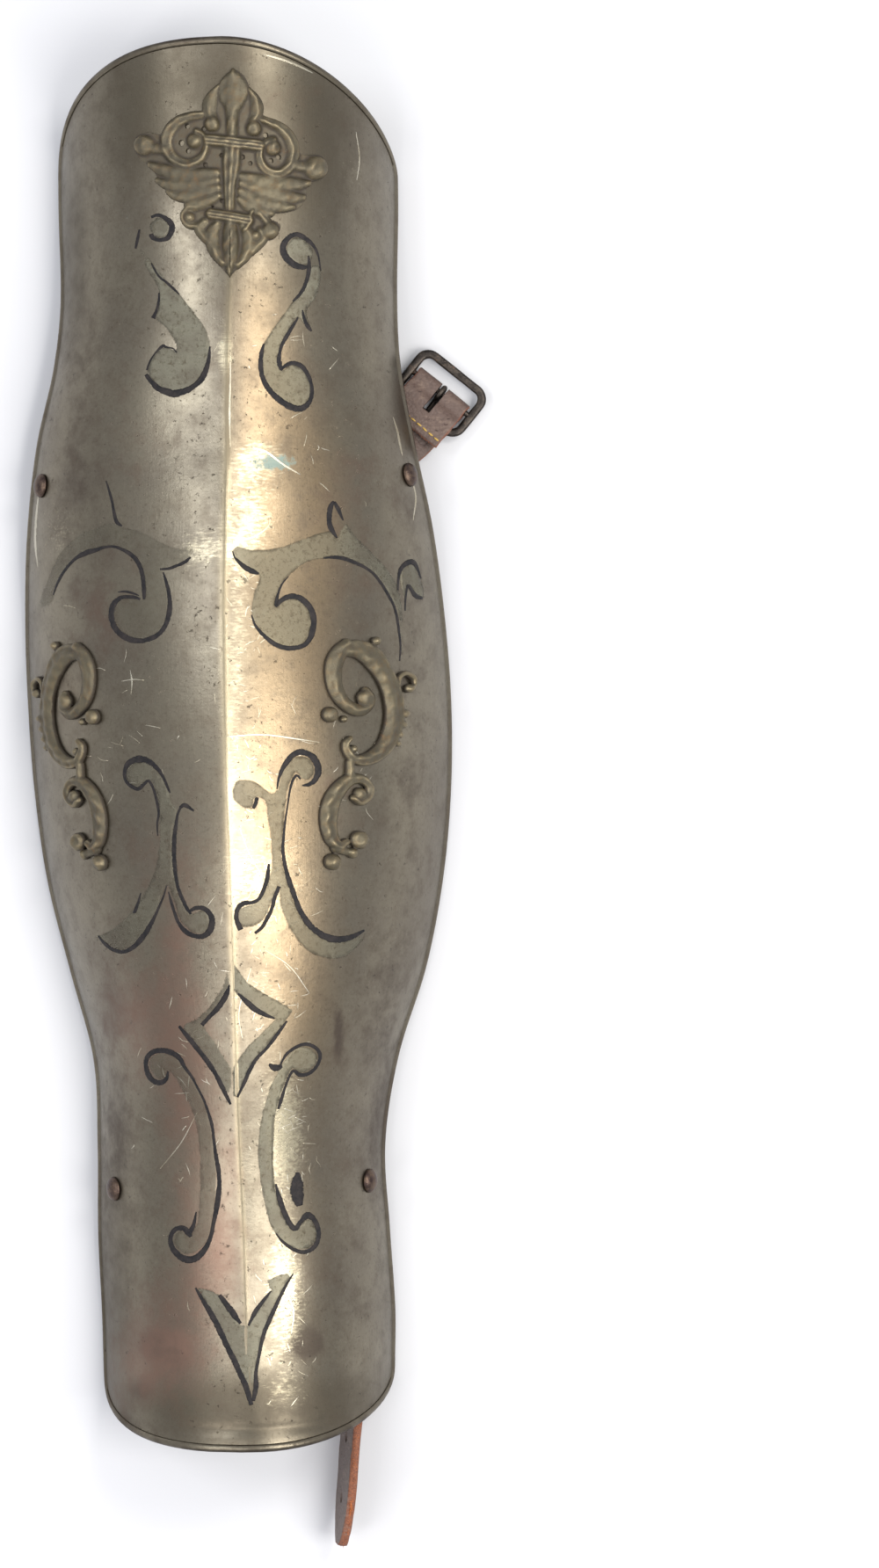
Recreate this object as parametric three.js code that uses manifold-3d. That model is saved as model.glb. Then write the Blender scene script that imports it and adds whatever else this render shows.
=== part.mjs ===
// A costume greave: a shin plate of sheet metal with a central ridge and a rolled rim, a cast
// crest at the knee, two cast scrolls on the calf, and two leather straps with centre-bar buckles.
// It lies on its open back. +X points to the side that the upper buckle is on, +Y runs up the
// shin to the knee, +Z is out of the shin, and all lengths are millimetres.
import * as THREE from "three";
import { mergeVertices } from "three/addons/utils/BufferGeometryUtils.js";
import Module from "manifold-3d";

const wasm = await Module();
wasm.setup();

// Driving dimensions of the plate
const PLATE_LENGTH = 419;
const CALF_WIDTH = 131;
const CALF_DEPTH = 60.5;
const SHEET = 1.1;
const RIM_RADIUS = 1.4;
const WALL_ANGLE = 75;
const KNEE_ARCH = 33;
const ANKLE_CORNER = 16;
const CLEARANCE = 0.35;
const CAST_GAP = 0.5;
const STRAP_SEAT = 1;

// Driving dimensions of the cast ornaments
const CREST_WIDTH = 58;
const CREST_HEIGHT = 61;
const SCROLL_HEIGHT = 72;

// Driving dimensions of the straps, rivets and buckles
const STRAP_WIDTH = 20;
const BILLET_THICKNESS = 3;
const CHAPE_THICKNESS = 1.5;
const LOWER_BILLET_LENGTH = 113;
const UPPER_BILLET_LENGTH = 150;
const LOWER_CHAPE_LENGTH = 40;
const FLAP_LENGTH = 14.5;
const HOLE_DIAMETER = 3.4;
const HOLE_SPACING = 19;
const HOLE_COUNT = 4;
const RIVET_HEAD = 7.4;
const RIVET_RISE = 2.1;
const RIVET_SHANK = 2.6;
const BURR_THICKNESS = 0.8;
const BILLET_POINT = 11;
const BUCKLE_BAR = 2.8;
const BUCKLE_THICKNESS = 2.2;
const BUCKLE_REACH = 8;
const BUCKLE_PLAY = 0.5;
const PIN_DIAMETER = 1.8;
const PRONG_WIRE = 1.7;
const SLOT_PLAY = 0.3;
const FLOOR_GAP = 0.15;
const TONGUE_GAP = 0.2;
const UPPER_BUCKLE_ASIDE = 10.2;
const UPPER_BUCKLE_ABOVE = 26.5;
const LOWER_BUCKLE_INSIDE = 17.5;

// The plate, section by section from the ankle to the knee. share is a share of the length,
// left and right the half widths and ridge the ridge's sideways place as shares of half the calf
// width, crown and hem the heights of ridge and edge as shares of the calf depth, and crease the
// angle in degrees by which each flank falls away from the ridge.
const SECTIONS = [
  { share: 0.0, left: 0.68, right: 0.68, ridge: 0.045, crown: 0.79, hem: 0.0, crease: 0 },
  { share: 0.04, left: 0.684, right: 0.684, ridge: 0.04, crown: 0.75, hem: 0.0, crease: 3 },
  { share: 0.08, left: 0.686, right: 0.69, ridge: 0.03, crown: 0.738, hem: 0.01, crease: 7 },
  { share: 0.14, left: 0.694, right: 0.672, ridge: 0.025, crown: 0.742, hem: 0.045, crease: 11 },
  { share: 0.205, left: 0.686, right: 0.658, ridge: 0.015, crown: 0.78, hem: 0.08, crease: 14 },
  { share: 0.27, left: 0.7, right: 0.73, ridge: 0.01, crown: 0.85, hem: 0.055, crease: 16 },
  { share: 0.335, left: 0.805, right: 0.868, ridge: 0.008, crown: 0.908, hem: 0.02, crease: 17 },
  { share: 0.4, left: 0.905, right: 0.955, ridge: 0.006, crown: 0.96, hem: 0.005, crease: 18 },
  { share: 0.465, left: 0.96, right: 1.0, ridge: 0.0, crown: 0.992, hem: 0.0, crease: 18 },
  { share: 0.53, left: 0.985, right: 1.009, ridge: 0.0, crown: 1.0, hem: 0.004, crease: 18 },
  { share: 0.595, left: 0.99, right: 0.985, ridge: 0.0, crown: 0.98, hem: 0.025, crease: 18 },
  { share: 0.66, left: 0.965, right: 0.936, ridge: 0.012, crown: 0.925, hem: 0.1, crease: 17 },
  { share: 0.725, left: 0.905, right: 0.855, ridge: 0.025, crown: 0.865, hem: 0.16, crease: 15 },
  { share: 0.78, left: 0.82, right: 0.798, ridge: 0.028, crown: 0.825, hem: 0.165, crease: 12 },
  { share: 0.83, left: 0.785, right: 0.788, ridge: 0.045, crown: 0.808, hem: 0.115, crease: 7 },
  { share: 0.9, left: 0.795, right: 0.8, ridge: 0.052, crown: 0.8, hem: 0.03, crease: 2 },
  { share: 0.96, left: 0.795, right: 0.8, ridge: 0.052, crown: 0.812, hem: 0.0, crease: 0 },
  { share: 1.0, left: 0.795, right: 0.8, ridge: 0.052, crown: 0.845, hem: 0.0, crease: 0 },
];

// How square each corner of the outline is: 2 is an ellipse, and more is squarer.
const SQUARENESS = { kneeLeft: 2.65, kneeRight: 1.85, ankleLeft: 3.4, ankleRight: 2.6 };

// A table's column at a share of the length, on a smooth curve through its rows
function column(name, share) {
  const rows = SECTIONS;
  const last = rows.length - 1;
  const slope = (k) => {
    const a = rows[Math.max(0, k - 1)];
    const b = rows[Math.min(last, k + 1)];
    return (b[name] - a[name]) / (b.share - a.share);
  };
  const s = Math.min(1, Math.max(0, share));
  let i = 0;
  while (i < last - 1 && s > rows[i + 1].share) i += 1;
  const step = rows[i + 1].share - rows[i].share;
  const t = (s - rows[i].share) / step;
  return (
    (2 * t ** 3 - 3 * t ** 2 + 1) * rows[i][name] +
    (t ** 3 - 2 * t ** 2 + t) * step * slope(i) +
    (3 * t ** 2 - 2 * t ** 3) * rows[i + 1][name] +
    (t ** 3 - t ** 2) * step * slope(i + 1)
  );
}

const radians = THREE.MathUtils.degToRad;
const shareAt = (y) => y / PLATE_LENGTH;
const ridgeAt = (y) => (column("ridge", shareAt(y)) * CALF_WIDTH) / 2;
const edgeAt = (side, y) =>
  (side * column(side < 0 ? "left" : "right", shareAt(y)) * CALF_WIDTH) / 2;

// Height of the plate's outer face above its hem's lowest level. Each flank is an arc of an
// ellipse that starts at the crease's angle and ends nearly upright at the hem.
function heightAt(x, y) {
  const share = shareAt(y);
  const ridge = ridgeAt(y);
  const side = x < ridge ? -1 : 1;
  const t = Math.min(1.03, (x - ridge) / (edgeAt(side, y) - ridge));
  const crease = radians(column("crease", share));
  const wall = radians(WALL_ANGLE);
  const turned = Math.asin(Math.sin(crease) + t * (Math.sin(wall) - Math.sin(crease)));
  const drop = (Math.cos(crease) - Math.cos(turned)) / (Math.cos(crease) - Math.cos(wall));
  const crown = column("crown", share) * CALF_DEPTH;
  const hem = column("hem", share) * CALF_DEPTH;
  return crown - (crown - hem) * drop;
}

function normalAt(x, y) {
  const step = 0.05;
  const slopeX = (heightAt(x + step, y) - heightAt(x - step, y)) / (2 * step);
  const slopeY = (heightAt(x, y + step) - heightAt(x, y - step)) / (2 * step);
  return new THREE.Vector3(-slopeX, -slopeY, 1).normalize();
}

// A point of the plate's outer face, moved out along its normal by lift
function onPlate(x, y, lift = 0) {
  return new THREE.Vector3(x, y, heightAt(x, y)).addScaledVector(normalAt(x, y), lift);
}

// The x reached by walking a distance over the face from the ridge, square to the ridge
function walkFromRidge(distance, y) {
  const steps = 40;
  const side = Math.sign(distance);
  let x = ridgeAt(y);
  for (let k = 0; k < steps; k += 1) {
    const ahead = x + side * 0.2;
    const slope = (heightAt(ahead + 0.1, y) - heightAt(ahead - 0.1, y)) / 0.2;
    x += distance / steps / Math.hypot(1, slope);
  }
  return x;
}

function walkFromHem(side, inset, y) {
  const steps = 20;
  let x = edgeAt(side, y);
  for (let k = 0; k < steps; k += 1) {
    const slope = (heightAt(x, y) - heightAt(x - side * 0.1, y)) / 0.1;
    x -= (side * inset) / steps / Math.hypot(1, slope);
  }
  return x;
}

// Solids and meshes
function solidOf(geometry) {
  const bare = geometry.clone();
  for (const name of Object.keys(bare.attributes)) {
    if (name !== "position") bare.deleteAttribute(name);
  }
  const merged = mergeVertices(bare, 1e-3);
  const triVerts = new Uint32Array(merged.index.array);
  const vertProperties = new Float32Array(merged.attributes.position.array);
  return new wasm.Manifold(new wasm.Mesh({ numProp: 3, vertProperties, triVerts }));
}

function geometryOf(solid) {
  const made = solid.getMesh();
  const positions = new Float32Array(made.numVert * 3);
  for (let i = 0; i < made.numVert; i += 1) {
    for (let c = 0; c < 3; c += 1) {
      positions[3 * i + c] = made.vertProperties[i * made.numProp + c];
    }
  }
  const geometry = new THREE.BufferGeometry();
  geometry.setAttribute("position", new THREE.BufferAttribute(positions, 3));
  geometry.setIndex(new THREE.BufferAttribute(made.triVerts, 1));
  geometry.computeVertexNormals();
  return geometry;
}

function enclosedVolume(points, faces) {
  return faces.reduce(
    (sum, [a, b, c]) => sum + points[a].dot(points[b].clone().cross(points[c])) / 6,
    0,
  );
}

// A closed skin over rings of points. The rings close on themselves, or with wrap the last ring
// joins the first and each ring stays an open line whose ends meet another ring's.
function skin(rings, { wrap = false } = {}) {
  const across = rings[0].length;
  const points = rings.flat();
  const faces = [];
  const ringCount = wrap ? rings.length : rings.length - 1;
  const pointCount = wrap ? across - 1 : across;
  for (let r = 0; r < ringCount; r += 1) {
    for (let p = 0; p < pointCount; p += 1) {
      const here = r * across;
      const next = ((r + 1) % rings.length) * across;
      const q = (p + 1) % across;
      faces.push([here + p, here + q, next + q], [here + p, next + q, next + p]);
    }
  }
  if (!wrap) {
    const end = (rings.length - 1) * across;
    for (let p = 1; p < across - 1; p += 1) {
      faces.push([0, p + 1, p], [end, end + p, end + p + 1]);
    }
  }
  if (enclosedVolume(points, faces) < 0) faces.forEach((face) => face.reverse());
  const kept = faces.filter(([a, b, c]) => {
    const [pa, pb, pc] = [points[a], points[b], points[c]];
    return Math.min(pa.distanceTo(pb), pb.distanceTo(pc), pc.distanceTo(pa)) > 1e-3;
  });
  const geometry = new THREE.BufferGeometry().setFromPoints(points);
  geometry.setIndex(kept.flat());
  return solidOf(geometry);
}

const joined = (solids) => solids.reduce((a, b) => a.add(b));

// The plate's outline: pairs of points, right and left, from the ankle's middle to the knee's
function outlinePairs() {
  const cornerSteps = 5;
  const sideSteps = 28;
  const archSteps = 9;
  const superPoint = (turn, n) => [
    Math.cos(turn) ** (2 / n),
    Math.sin(turn) ** (2 / n),
  ];
  const pair = (make) => ({ right: make(1), left: make(-1) });
  const pairs = [];
  for (let k = 0; k < cornerSteps; k += 1) {
    const turn = (Math.PI / 2) * (1 - k / cornerSteps);
    pairs.push(
      pair((side) => {
        const n = side < 0 ? SQUARENESS.ankleLeft : SQUARENESS.ankleRight;
        const [out, down] = superPoint(turn, n);
        const y = ANKLE_CORNER * (1 - down);
        return [out * edgeAt(side, y), y];
      }),
    );
  }
  for (let k = 0; k <= sideSteps; k += 1) {
    const y = ANKLE_CORNER + (k / sideSteps) * (PLATE_LENGTH - ANKLE_CORNER - KNEE_ARCH);
    pairs.push(pair((side) => [edgeAt(side, y), y]));
  }
  for (let k = 1; k <= archSteps; k += 1) {
    const turn = (Math.PI / 2) * (k / archSteps);
    pairs.push(
      pair((side) => {
        const n = side < 0 ? SQUARENESS.kneeLeft : SQUARENESS.kneeRight;
        const [out, up] = superPoint(Math.min(turn, Math.PI / 2 - 1e-9), n);
        const y = PLATE_LENGTH - KNEE_ARCH * (1 - up);
        return [out * edgeAt(side, y), y];
      }),
    );
  }
  for (const end of [pairs[0], pairs[pairs.length - 1]]) {
    end.right[0] = 0;
    end.left[0] = 0;
  }
  return pairs;
}

// The plate's solid: each ring is one line from the ridge over the outer face, round the rolled
// rim and back along the inner face. The lines stand round the outline and meet at the ridge.
function plateSolid() {
  const spineShare = 0.93;
  const wallSteps = 8;
  const rimSteps = 5;
  const pairs = outlinePairs();
  const middle = PLATE_LENGTH / 2;
  const loop = [];
  pairs.forEach((pair, k) => loop.push({ edge: pair.right, k }));
  for (let k = pairs.length - 2; k > 0; k -= 1) loop.push({ edge: pairs[k].left, k });
  const spineAt = (k) => {
    const y = middle + spineShare * ((pairs[k].right[1] + pairs[k].left[1]) / 2 - middle);
    return [ridgeAt(y), y];
  };
  const rings = loop.map(({ edge, k }, i) => {
    const spine = spineAt(k);
    const outer = [];
    const inner = [];
    for (let j = 0; j < wallSteps; j += 1) {
      const share =
        Math.sin((radians(WALL_ANGLE) * j) / wallSteps) / Math.sin(radians(WALL_ANGLE));
      const x = THREE.MathUtils.lerp(spine[0], edge[0], share);
      const y = THREE.MathUtils.lerp(spine[1], edge[1], share);
      outer.push(onPlate(x, y));
      inner.unshift(onPlate(x, y, -SHEET));
    }
    const before = loop[(i + loop.length - 1) % loop.length].edge;
    const after = loop[(i + 1) % loop.length].edge;
    const along = onPlate(...after).sub(onPlate(...before)).normalize();
    const normal = normalAt(...edge);
    const outward = along.cross(normal).normalize();
    const centre = onPlate(edge[0], edge[1], -SHEET / 2);
    const start = Math.PI - Math.asin(SHEET / 2 / RIM_RADIUS);
    const rim = [];
    for (let r = 0; r <= rimSteps; r += 1) {
      const turn = start - (2 * start * r) / rimSteps;
      rim.push(
        centre
          .clone()
          .addScaledVector(outward, RIM_RADIUS * Math.cos(turn))
          .addScaledVector(normal, RIM_RADIUS * Math.sin(turn)),
      );
    }
    return [...outer, ...rim, ...inner];
  });
  return skin(rings, { wrap: true });
}

// Rivets: where each strap is fastened, by side, share of the length, and the distance over the
// face from the hem
const RIVETS = {
  upper_left: { side: -1, share: 0.694, inset: 8.5 },
  upper_right: { side: 1, share: 0.697, inset: 8.5 },
  lower_left: { side: -1, share: 0.178, inset: 15 },
  lower_right: { side: 1, share: 0.18, inset: 12.5 },
};

// A frame at a rivet: at is the outer face, out its normal, along runs up the shin in the face
function rivetFrame({ side, share, inset }) {
  const y = share * PLATE_LENGTH;
  const x = walkFromHem(side, inset, y);
  const out = normalAt(x, y);
  const along = new THREE.Vector3(0, 1, 0).addScaledVector(out, -out.y).normalize();
  return { side, inset, at: onPlate(x, y), out, along };
}

function standOn({ at, out }, geometry) {
  const turn = new THREE.Quaternion().setFromUnitVectors(new THREE.Vector3(0, 1, 0), out);
  const placed = geometry.clone().applyQuaternion(turn);
  return placed.translate(at.x, at.y, at.z);
}

// A shank through plate and strap, a domed head outside and a flat burr inside
function rivetSolid(frame, strapThickness, rise) {
  const headSteps = 3;
  const burrShare = 0.65;
  const shank = RIVET_SHANK / 2;
  const burr = burrShare * (RIVET_HEAD / 2);
  const bowed = BOW * Math.max(BAND_FLAT, (rise + burr) / (STRAP_WIDTH / 2)) ** 2;
  const burrTop = -(SHEET + STRAP_SEAT + strapThickness + bowed + 2 * CLEARANCE);
  const profile = [
    new THREE.Vector2(0, burrTop - BURR_THICKNESS),
    new THREE.Vector2(burr, burrTop - BURR_THICKNESS),
    new THREE.Vector2(burr, burrTop),
    new THREE.Vector2(shank, burrTop),
    new THREE.Vector2(shank, CLEARANCE),
    new THREE.Vector2(RIVET_HEAD / 2, CLEARANCE),
  ];
  for (let k = 1; k < headSteps; k += 1) {
    const turn = (Math.PI / 2) * (k / headSteps);
    profile.push(
      new THREE.Vector2(
        (RIVET_HEAD / 2) * Math.cos(turn),
        CLEARANCE + RIVET_RISE * Math.sin(turn),
      ),
    );
  }
  profile.push(new THREE.Vector2(0, CLEARANCE + RIVET_RISE));
  return solidOf(standOn(frame, new THREE.LatheGeometry(profile, 10)));
}

// How far a bore reaches to each side of the outer face
const BORE_REACH = { plate: 4, chape: 6, billet: 9 };
function boreThrough(frame, diameter, deep) {
  return solidOf(
    standOn(frame, new THREE.CylinderGeometry(diameter / 2, diameter / 2, 2 * deep, 8)),
  );
}

// Cast ornaments. A ribbon is a half-round bar that follows a line on the plate, and a boss is a
// round button. Both take points in the casting's own plane, which place() lays on the plate.
function ribbonSolid(place, line, widths, rise) {
  const archSteps = 3;
  const shoulder = 0.15;
  const flat = line.map(([a, b]) => new THREE.Vector2(a, b));
  const rings = flat.map((point, k) => {
    const before = flat[Math.max(0, k - 1)];
    const after = flat[Math.min(flat.length - 1, k + 1)];
    const along = after.clone().sub(before).normalize();
    const half = widths[k] / 2;
    const ring = [];
    for (let p = 0; p <= archSteps; p += 1) {
      const turn = Math.PI * (p / archSteps);
      const off = half * Math.cos(turn);
      const raised = p > 0 && p < archSteps;
      const up = raised ? rise * (shoulder + (1 - shoulder) * Math.sin(turn)) : 0;
      ring.push(place(point.x - along.y * off, point.y + along.x * off, up));
    }
    return ring;
  });
  return skin(rings);
}

function bossSolid(place, [a, b], radius, rise) {
  const rings = 2;
  const sides = 8;
  const layers = [];
  for (let r = 0; r < rings; r += 1) {
    const turn = (Math.PI / 2) * (r / rings);
    const ring = [];
    for (let s = 0; s < sides; s += 1) {
      const round = (2 * Math.PI * s) / sides;
      ring.push(
        place(
          a + radius * Math.cos(turn) * Math.cos(round),
          b + radius * Math.cos(turn) * Math.sin(round),
          rise * Math.sin(turn),
        ),
      );
    }
    layers.push(ring);
  }
  layers.push(layers[0].map(() => place(a, b, rise)));
  return skin(layers);
}

// The crest, in hundredths of its half width and half height. Each row with mirror is made again
// on the other side. ribbon rows give a line and a width at each point, boss rows a radius.
const CREST_RIBBONS = [
  {
    name: "bud",
    line: [[3, 101], [3, 93], [4, 84], [4, 74], [4, 64], [3, 54]],
    widths: [4, 18, 31, 30, 24, 22],
    rise: 1.2,
  },
  { name: "petal", mirror: true, line: [[14, 78], [20, 69], [24, 60], [20, 50]], widths: [5, 13, 18, 14] },
  { name: "stem", line: [[2, 62], [1, 26], [0, 0], [-1, -34]], widths: [20, 22, 16, 12], rise: 1.1 },
  { name: "upper_band", line: [[-24, 31], [0, 31], [27, 31]], widths: [12, 12, 12], rise: 1.7 },
  { name: "lower_band", line: [[-19, -38], [0, -38], [19, -38]], widths: [12, 12, 12], rise: 1.7 },
  {
    name: "volute",
    mirror: true,
    line: [
      [6, 56], [24, 58], [40, 56], [53, 50], [62, 40], [66, 27], [65, 13], [57, 3], [45, -2],
      [33, 1], [24, 9], [21, 20], [28, 27],
    ],
    widths: [12, 12, 13, 15, 16, 17, 17, 15, 13, 12, 11, 11, 9],
    rise: 1.15,
  },
  {
    name: "wing",
    mirror: true,
    line: [[70, 2], [66, -12], [51, -23], [33, -26], [10, -24]],
    widths: [18, 24, 28, 26, 24],
  },
  { name: "curl", mirror: true, line: [[34, -32], [46, -40], [45, -51]], widths: [12, 12, 10] },
  {
    name: "border",
    mirror: true,
    line: [[42, -44], [34, -54], [24, -64], [14, -78], [2, -94]],
    widths: [10, 20, 22, 16, 8],
  },
  {
    name: "tip",
    line: [[0, -40], [0, -60], [0, -80], [-1, -101]],
    widths: [16, 24, 20, 3],
    rise: 1.35,
  },
];
const CREST_BOSSES = [
  { name: "eye", mirror: true, at: [40, 27], radius: 11.5 },
  { name: "bead", mirror: true, at: [22, 50], radius: 8.5 },
  { name: "knob", mirror: true, at: [85, 14], radius: 13 },
  { name: "curl_end", mirror: true, at: [45, -49], radius: 8 },
];
const CREST_PLACE = { share: 0.907, aside: 0.06 };
const CREST_SKEW = { lean: 0.02, droop: -0.11 };
const CREST_RISE = 1.3;

function crestPlacer() {
  const y0 = CREST_PLACE.share * PLATE_LENGTH;
  const u0 = (CREST_PLACE.aside * CALF_WIDTH) / 2 - ridgeAt(y0);
  return (a, b, up) => {
    const across = (a / 100) * (CREST_WIDTH / 2);
    const along = (b / 100) * (CREST_HEIGHT / 2);
    const y = y0 + along + CREST_SKEW.droop * across;
    const u = u0 + across + CREST_SKEW.lean * along + ridgeAt(y0) - ridgeAt(y);
    return onPlate(walkFromRidge(u, y), y, CAST_GAP + up);
  };
}

const BOSS_RISE = 1.8;
function castSolid(place, ribbons, bosses, rise, unit) {
  const pieces = [];
  for (const row of ribbons) {
    for (const side of row.mirror ? [1, -1] : [1]) {
      const line = row.line.map(([a, b]) => [side * a, b]);
      pieces.push(ribbonSolid(place, line, row.widths, (rise * (row.rise ?? 1)) / unit));
    }
  }
  for (const row of bosses) {
    for (const side of row.mirror ? [1, -1] : [1]) {
      pieces.push(
        bossSolid(place, [side * row.at[0], row.at[1]], row.radius, (BOSS_RISE * rise) / unit),
      );
    }
  }
  return joined(pieces);
}

// The scroll, in hundredths of its height. a grows towards the hem and b up the shin.
const SCROLL_RIBBONS = [
  {
    name: "c_scroll",
    line: [
      [8, 32], [10, 27], [4, 24], [-5, 25], [-10, 32], [-11, 39], [-7, 47], [1, 51], [12, 49],
      [20, 43], [25, 33], [26, 23], [23, 13], [16, 6.5], [8, 3.6], [0, 5], [-3.5, 9.5], [-1, 13],
      [3, 12],
    ],
    widths: [7.4, 6, 5, 5, 6, 6.4, 7, 7.4, 8, 9.2, 10.3, 10.5, 9.7, 8.3, 7, 6, 5, 4.6, 5],
  },
  {
    name: "s_scroll",
    line: [
      [8.6, -12.4], [12, -8.5], [9, -3.6], [2, -1.4], [-5, -5], [-10.5, -13], [-12, -20.5],
      [-10, -27.5], [-5, -32.5], [1.5, -34.5], [6, -33], [7, -29],
    ],
    widths: [7, 5, 6, 7.4, 8, 8.4, 8.4, 7.5, 6.2, 5, 4.6, 6.5],
  },
  { name: "frill", line: [[29, 36], [32, 29], [32.5, 21], [30, 13]], widths: [3, 5.5, 5.5, 2.5] },
  { name: "stalk", line: [[24, 36], [29, 38], [33, 38]], widths: [5, 4, 4.5] },
];
const SCROLL_BOSSES = [
  { name: "inner_curl", at: [8.4, 30.5], radius: 4.6 },
  { name: "inner_ball", at: [-10.5, 22.5], radius: 3.8 },
  { name: "outer_curl", at: [33.5, 36.5], radius: 3.8 },
  { name: "top_bud", at: [14, 53], radius: 2.6 },
  { name: "s_curl", at: [8.6, -12], radius: 4.2 },
  { name: "foot_curl", at: [7, -28.5], radius: 4.2 },
  { name: "foot_ball", at: [-8.5, -36], radius: 3.8 },
];
const SCROLL_RISE = 1.5;
// Where each scroll's waist lies: share of the length, and distance over the face from the ridge
// as a share of half the calf width
const SCROLLS = {
  left: { side: -1, share: 0.484, from: 0.855 },
  right: { side: 1, share: 0.482, from: 0.64 },
};

function scrollPlacer({ side, share, from }) {
  const y0 = share * PLATE_LENGTH;
  return (a, b, up) => {
    const unit = SCROLL_HEIGHT / 100;
    const y = y0 + b * unit;
    const u = side * ((from * CALF_WIDTH) / 2 + a * unit);
    return onPlate(walkFromRidge(u, y), y, CAST_GAP + up * unit);
  };
}

// Straps. A band is a flat bar along stations that give a middle, a direction across, a half
// width and how far its edges bow away from the plate.
const BOW = 1.5;
const BAND_FLAT = 0.45;
const BAND_COLUMNS = [-1, -BAND_FLAT, BAND_FLAT, 1];
const FLOOR = -RIM_RADIUS;

function bandSolid(stations, thickness) {
  const rings = stations.map(({ at, across, half, bow = 0 }, k) => {
    const before = stations[Math.max(0, k - 1)].at;
    const after = stations[Math.min(stations.length - 1, k + 1)].at;
    const along = after.clone().sub(before).normalize();
    const side = across.clone().addScaledVector(along, -across.dot(along)).normalize();
    const up = side.clone().cross(along).normalize();
    const face = (s, lift) =>
      at
        .clone()
        .addScaledVector(side, s * half)
        .addScaledVector(up, lift - bow * s * s);
    return [
      ...BAND_COLUMNS.map((s) => face(s, -thickness / 2)),
      ...BAND_COLUMNS.map((s) => face(-s, thickness / 2)),
    ];
  });
  return skin(rings);
}

// Stations on a smooth line through knots, each knot a middle, a direction across and a bow
function smoothStations(knots, count, halfAt = () => STRAP_WIDTH / 2) {
  const middles = new THREE.CatmullRomCurve3(knots.map((knot) => knot.at));
  const sides = new THREE.CatmullRomCurve3(knots.map((knot) => knot.across));
  const bows = new THREE.CatmullRomCurve3(knots.map((knot) => new THREE.Vector3(knot.bow, 0, 0)));
  const stations = [];
  for (let k = 0; k <= count; k += 1) {
    const t = k / count;
    const at = middles.getPoint(t);
    stations.push({ at, across: sides.getPoint(t), bow: bows.getPoint(t).x, half: halfAt(t) });
  }
  return stations;
}

// The first knots of a strap: flat against the inside of the wall, from a tail behind the rivet.
// towards is 1 for a strap that runs up the shin and -1 for one that runs down it.
const STRAP_TAIL = 8;
const CHAPE_RISE = 1;
function rootKnots(rivet, towards, thickness, { ahead = STRAP_TAIL, rise = 0 } = {}) {
  const seat = SHEET + STRAP_SEAT + thickness / 2;
  const along = rivet.along.clone().multiplyScalar(towards);
  const across = along.clone().cross(rivet.out).normalize();
  const middle = rivet.at.clone().addScaledVector(rivet.out, -seat);
  middle.addScaledVector(across, Math.sign(across.z) * rise);
  return [-STRAP_TAIL, 0, ahead].map((run) => ({
    at: middle.clone().addScaledVector(along, run),
    across,
    bow: BOW,
  }));
}

// How far a billet's middle sits above its rivet, so that its edge stays clear of the rim
const billetRise = (rivet) =>
  Math.max(0, STRAP_WIDTH / 2 + RIM_RADIUS + STRAP_SEAT - rivet.inset);

// A billet stands on its edge inside the wall and runs down the shin to a pointed end. lean gives
// how far it has come in from the rivet towards the middle by each share of its length.
function billetKnots(rivet, length, lean) {
  const rise = billetRise(rivet);
  const root = rootKnots(rivet, -1, BILLET_THICKNESS, { rise });
  const upright = new THREE.Vector3(0, 0, rivet.side);
  const rest = FLOOR + FLOOR_GAP + STRAP_WIDTH / 2;
  const middle = root[1].at;
  for (const { share, inward } of lean) {
    const settled = THREE.MathUtils.smoothstep(share, 0, 0.5);
    root.push({
      at: new THREE.Vector3(
        middle.x - rivet.side * inward,
        middle.y - share * length,
        THREE.MathUtils.lerp(middle.z, rest, settled),
      ),
      across: root[1].across.clone().lerp(upright, settled).normalize(),
      bow: BOW * (1 - settled),
    });
  }
  return root;
}

function billetSolid(rivet, length, lean) {
  const stationSteps = 17;
  const tip = 0.3;
  const lastHole = 0.75;
  const whole = length + STRAP_TAIL;
  const halfAt = (t) => {
    const left = Math.min(1, ((1 - t) * whole) / BILLET_POINT);
    return (STRAP_WIDTH / 2) * (tip + (1 - tip) * left);
  };
  const stations = smoothStations(billetKnots(rivet, length, lean), stationSteps, halfAt);
  let solid = bandSolid(stations, BILLET_THICKNESS);
  const end = stations[stations.length - 1].at;
  const inward = stations[stations.length - 2].at.clone().sub(end).normalize();
  const out = inward.clone().cross(new THREE.Vector3(0, 0, 1)).normalize();
  for (let k = 1; k <= HOLE_COUNT; k += 1) {
    const at = end.clone().addScaledVector(inward, (k - 1 + lastHole) * HOLE_SPACING);
    solid = solid.subtract(boreThrough({ at, out }, HOLE_DIAMETER, 2 * BILLET_THICKNESS));
  }
  return solid.subtract(boreThrough(rivet, RIVET_SHANK + 2 * CLEARANCE, BORE_REACH.billet));
}

// A buckle's own frame: at is the middle of its centre bar, across runs along that bar, along
// points to the far bar and up is the side on which the leather lies.
function buckleFrame(at, across, along) {
  const side = across.clone().normalize();
  const ahead = along.clone().addScaledVector(side, -along.dot(side)).normalize();
  return { at, across: side, along: ahead, up: side.clone().cross(ahead) };
}

const inFrame = ({ at, across, along, up }, a, s, n) =>
  at.clone().addScaledVector(across, a).addScaledVector(along, s).addScaledVector(up, n);

function placedIn({ at, across, along, up }, geometry) {
  const matrix = new THREE.Matrix4().makeBasis(across, along, up).setPosition(at);
  return geometry.clone().applyMatrix4(matrix);
}

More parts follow.
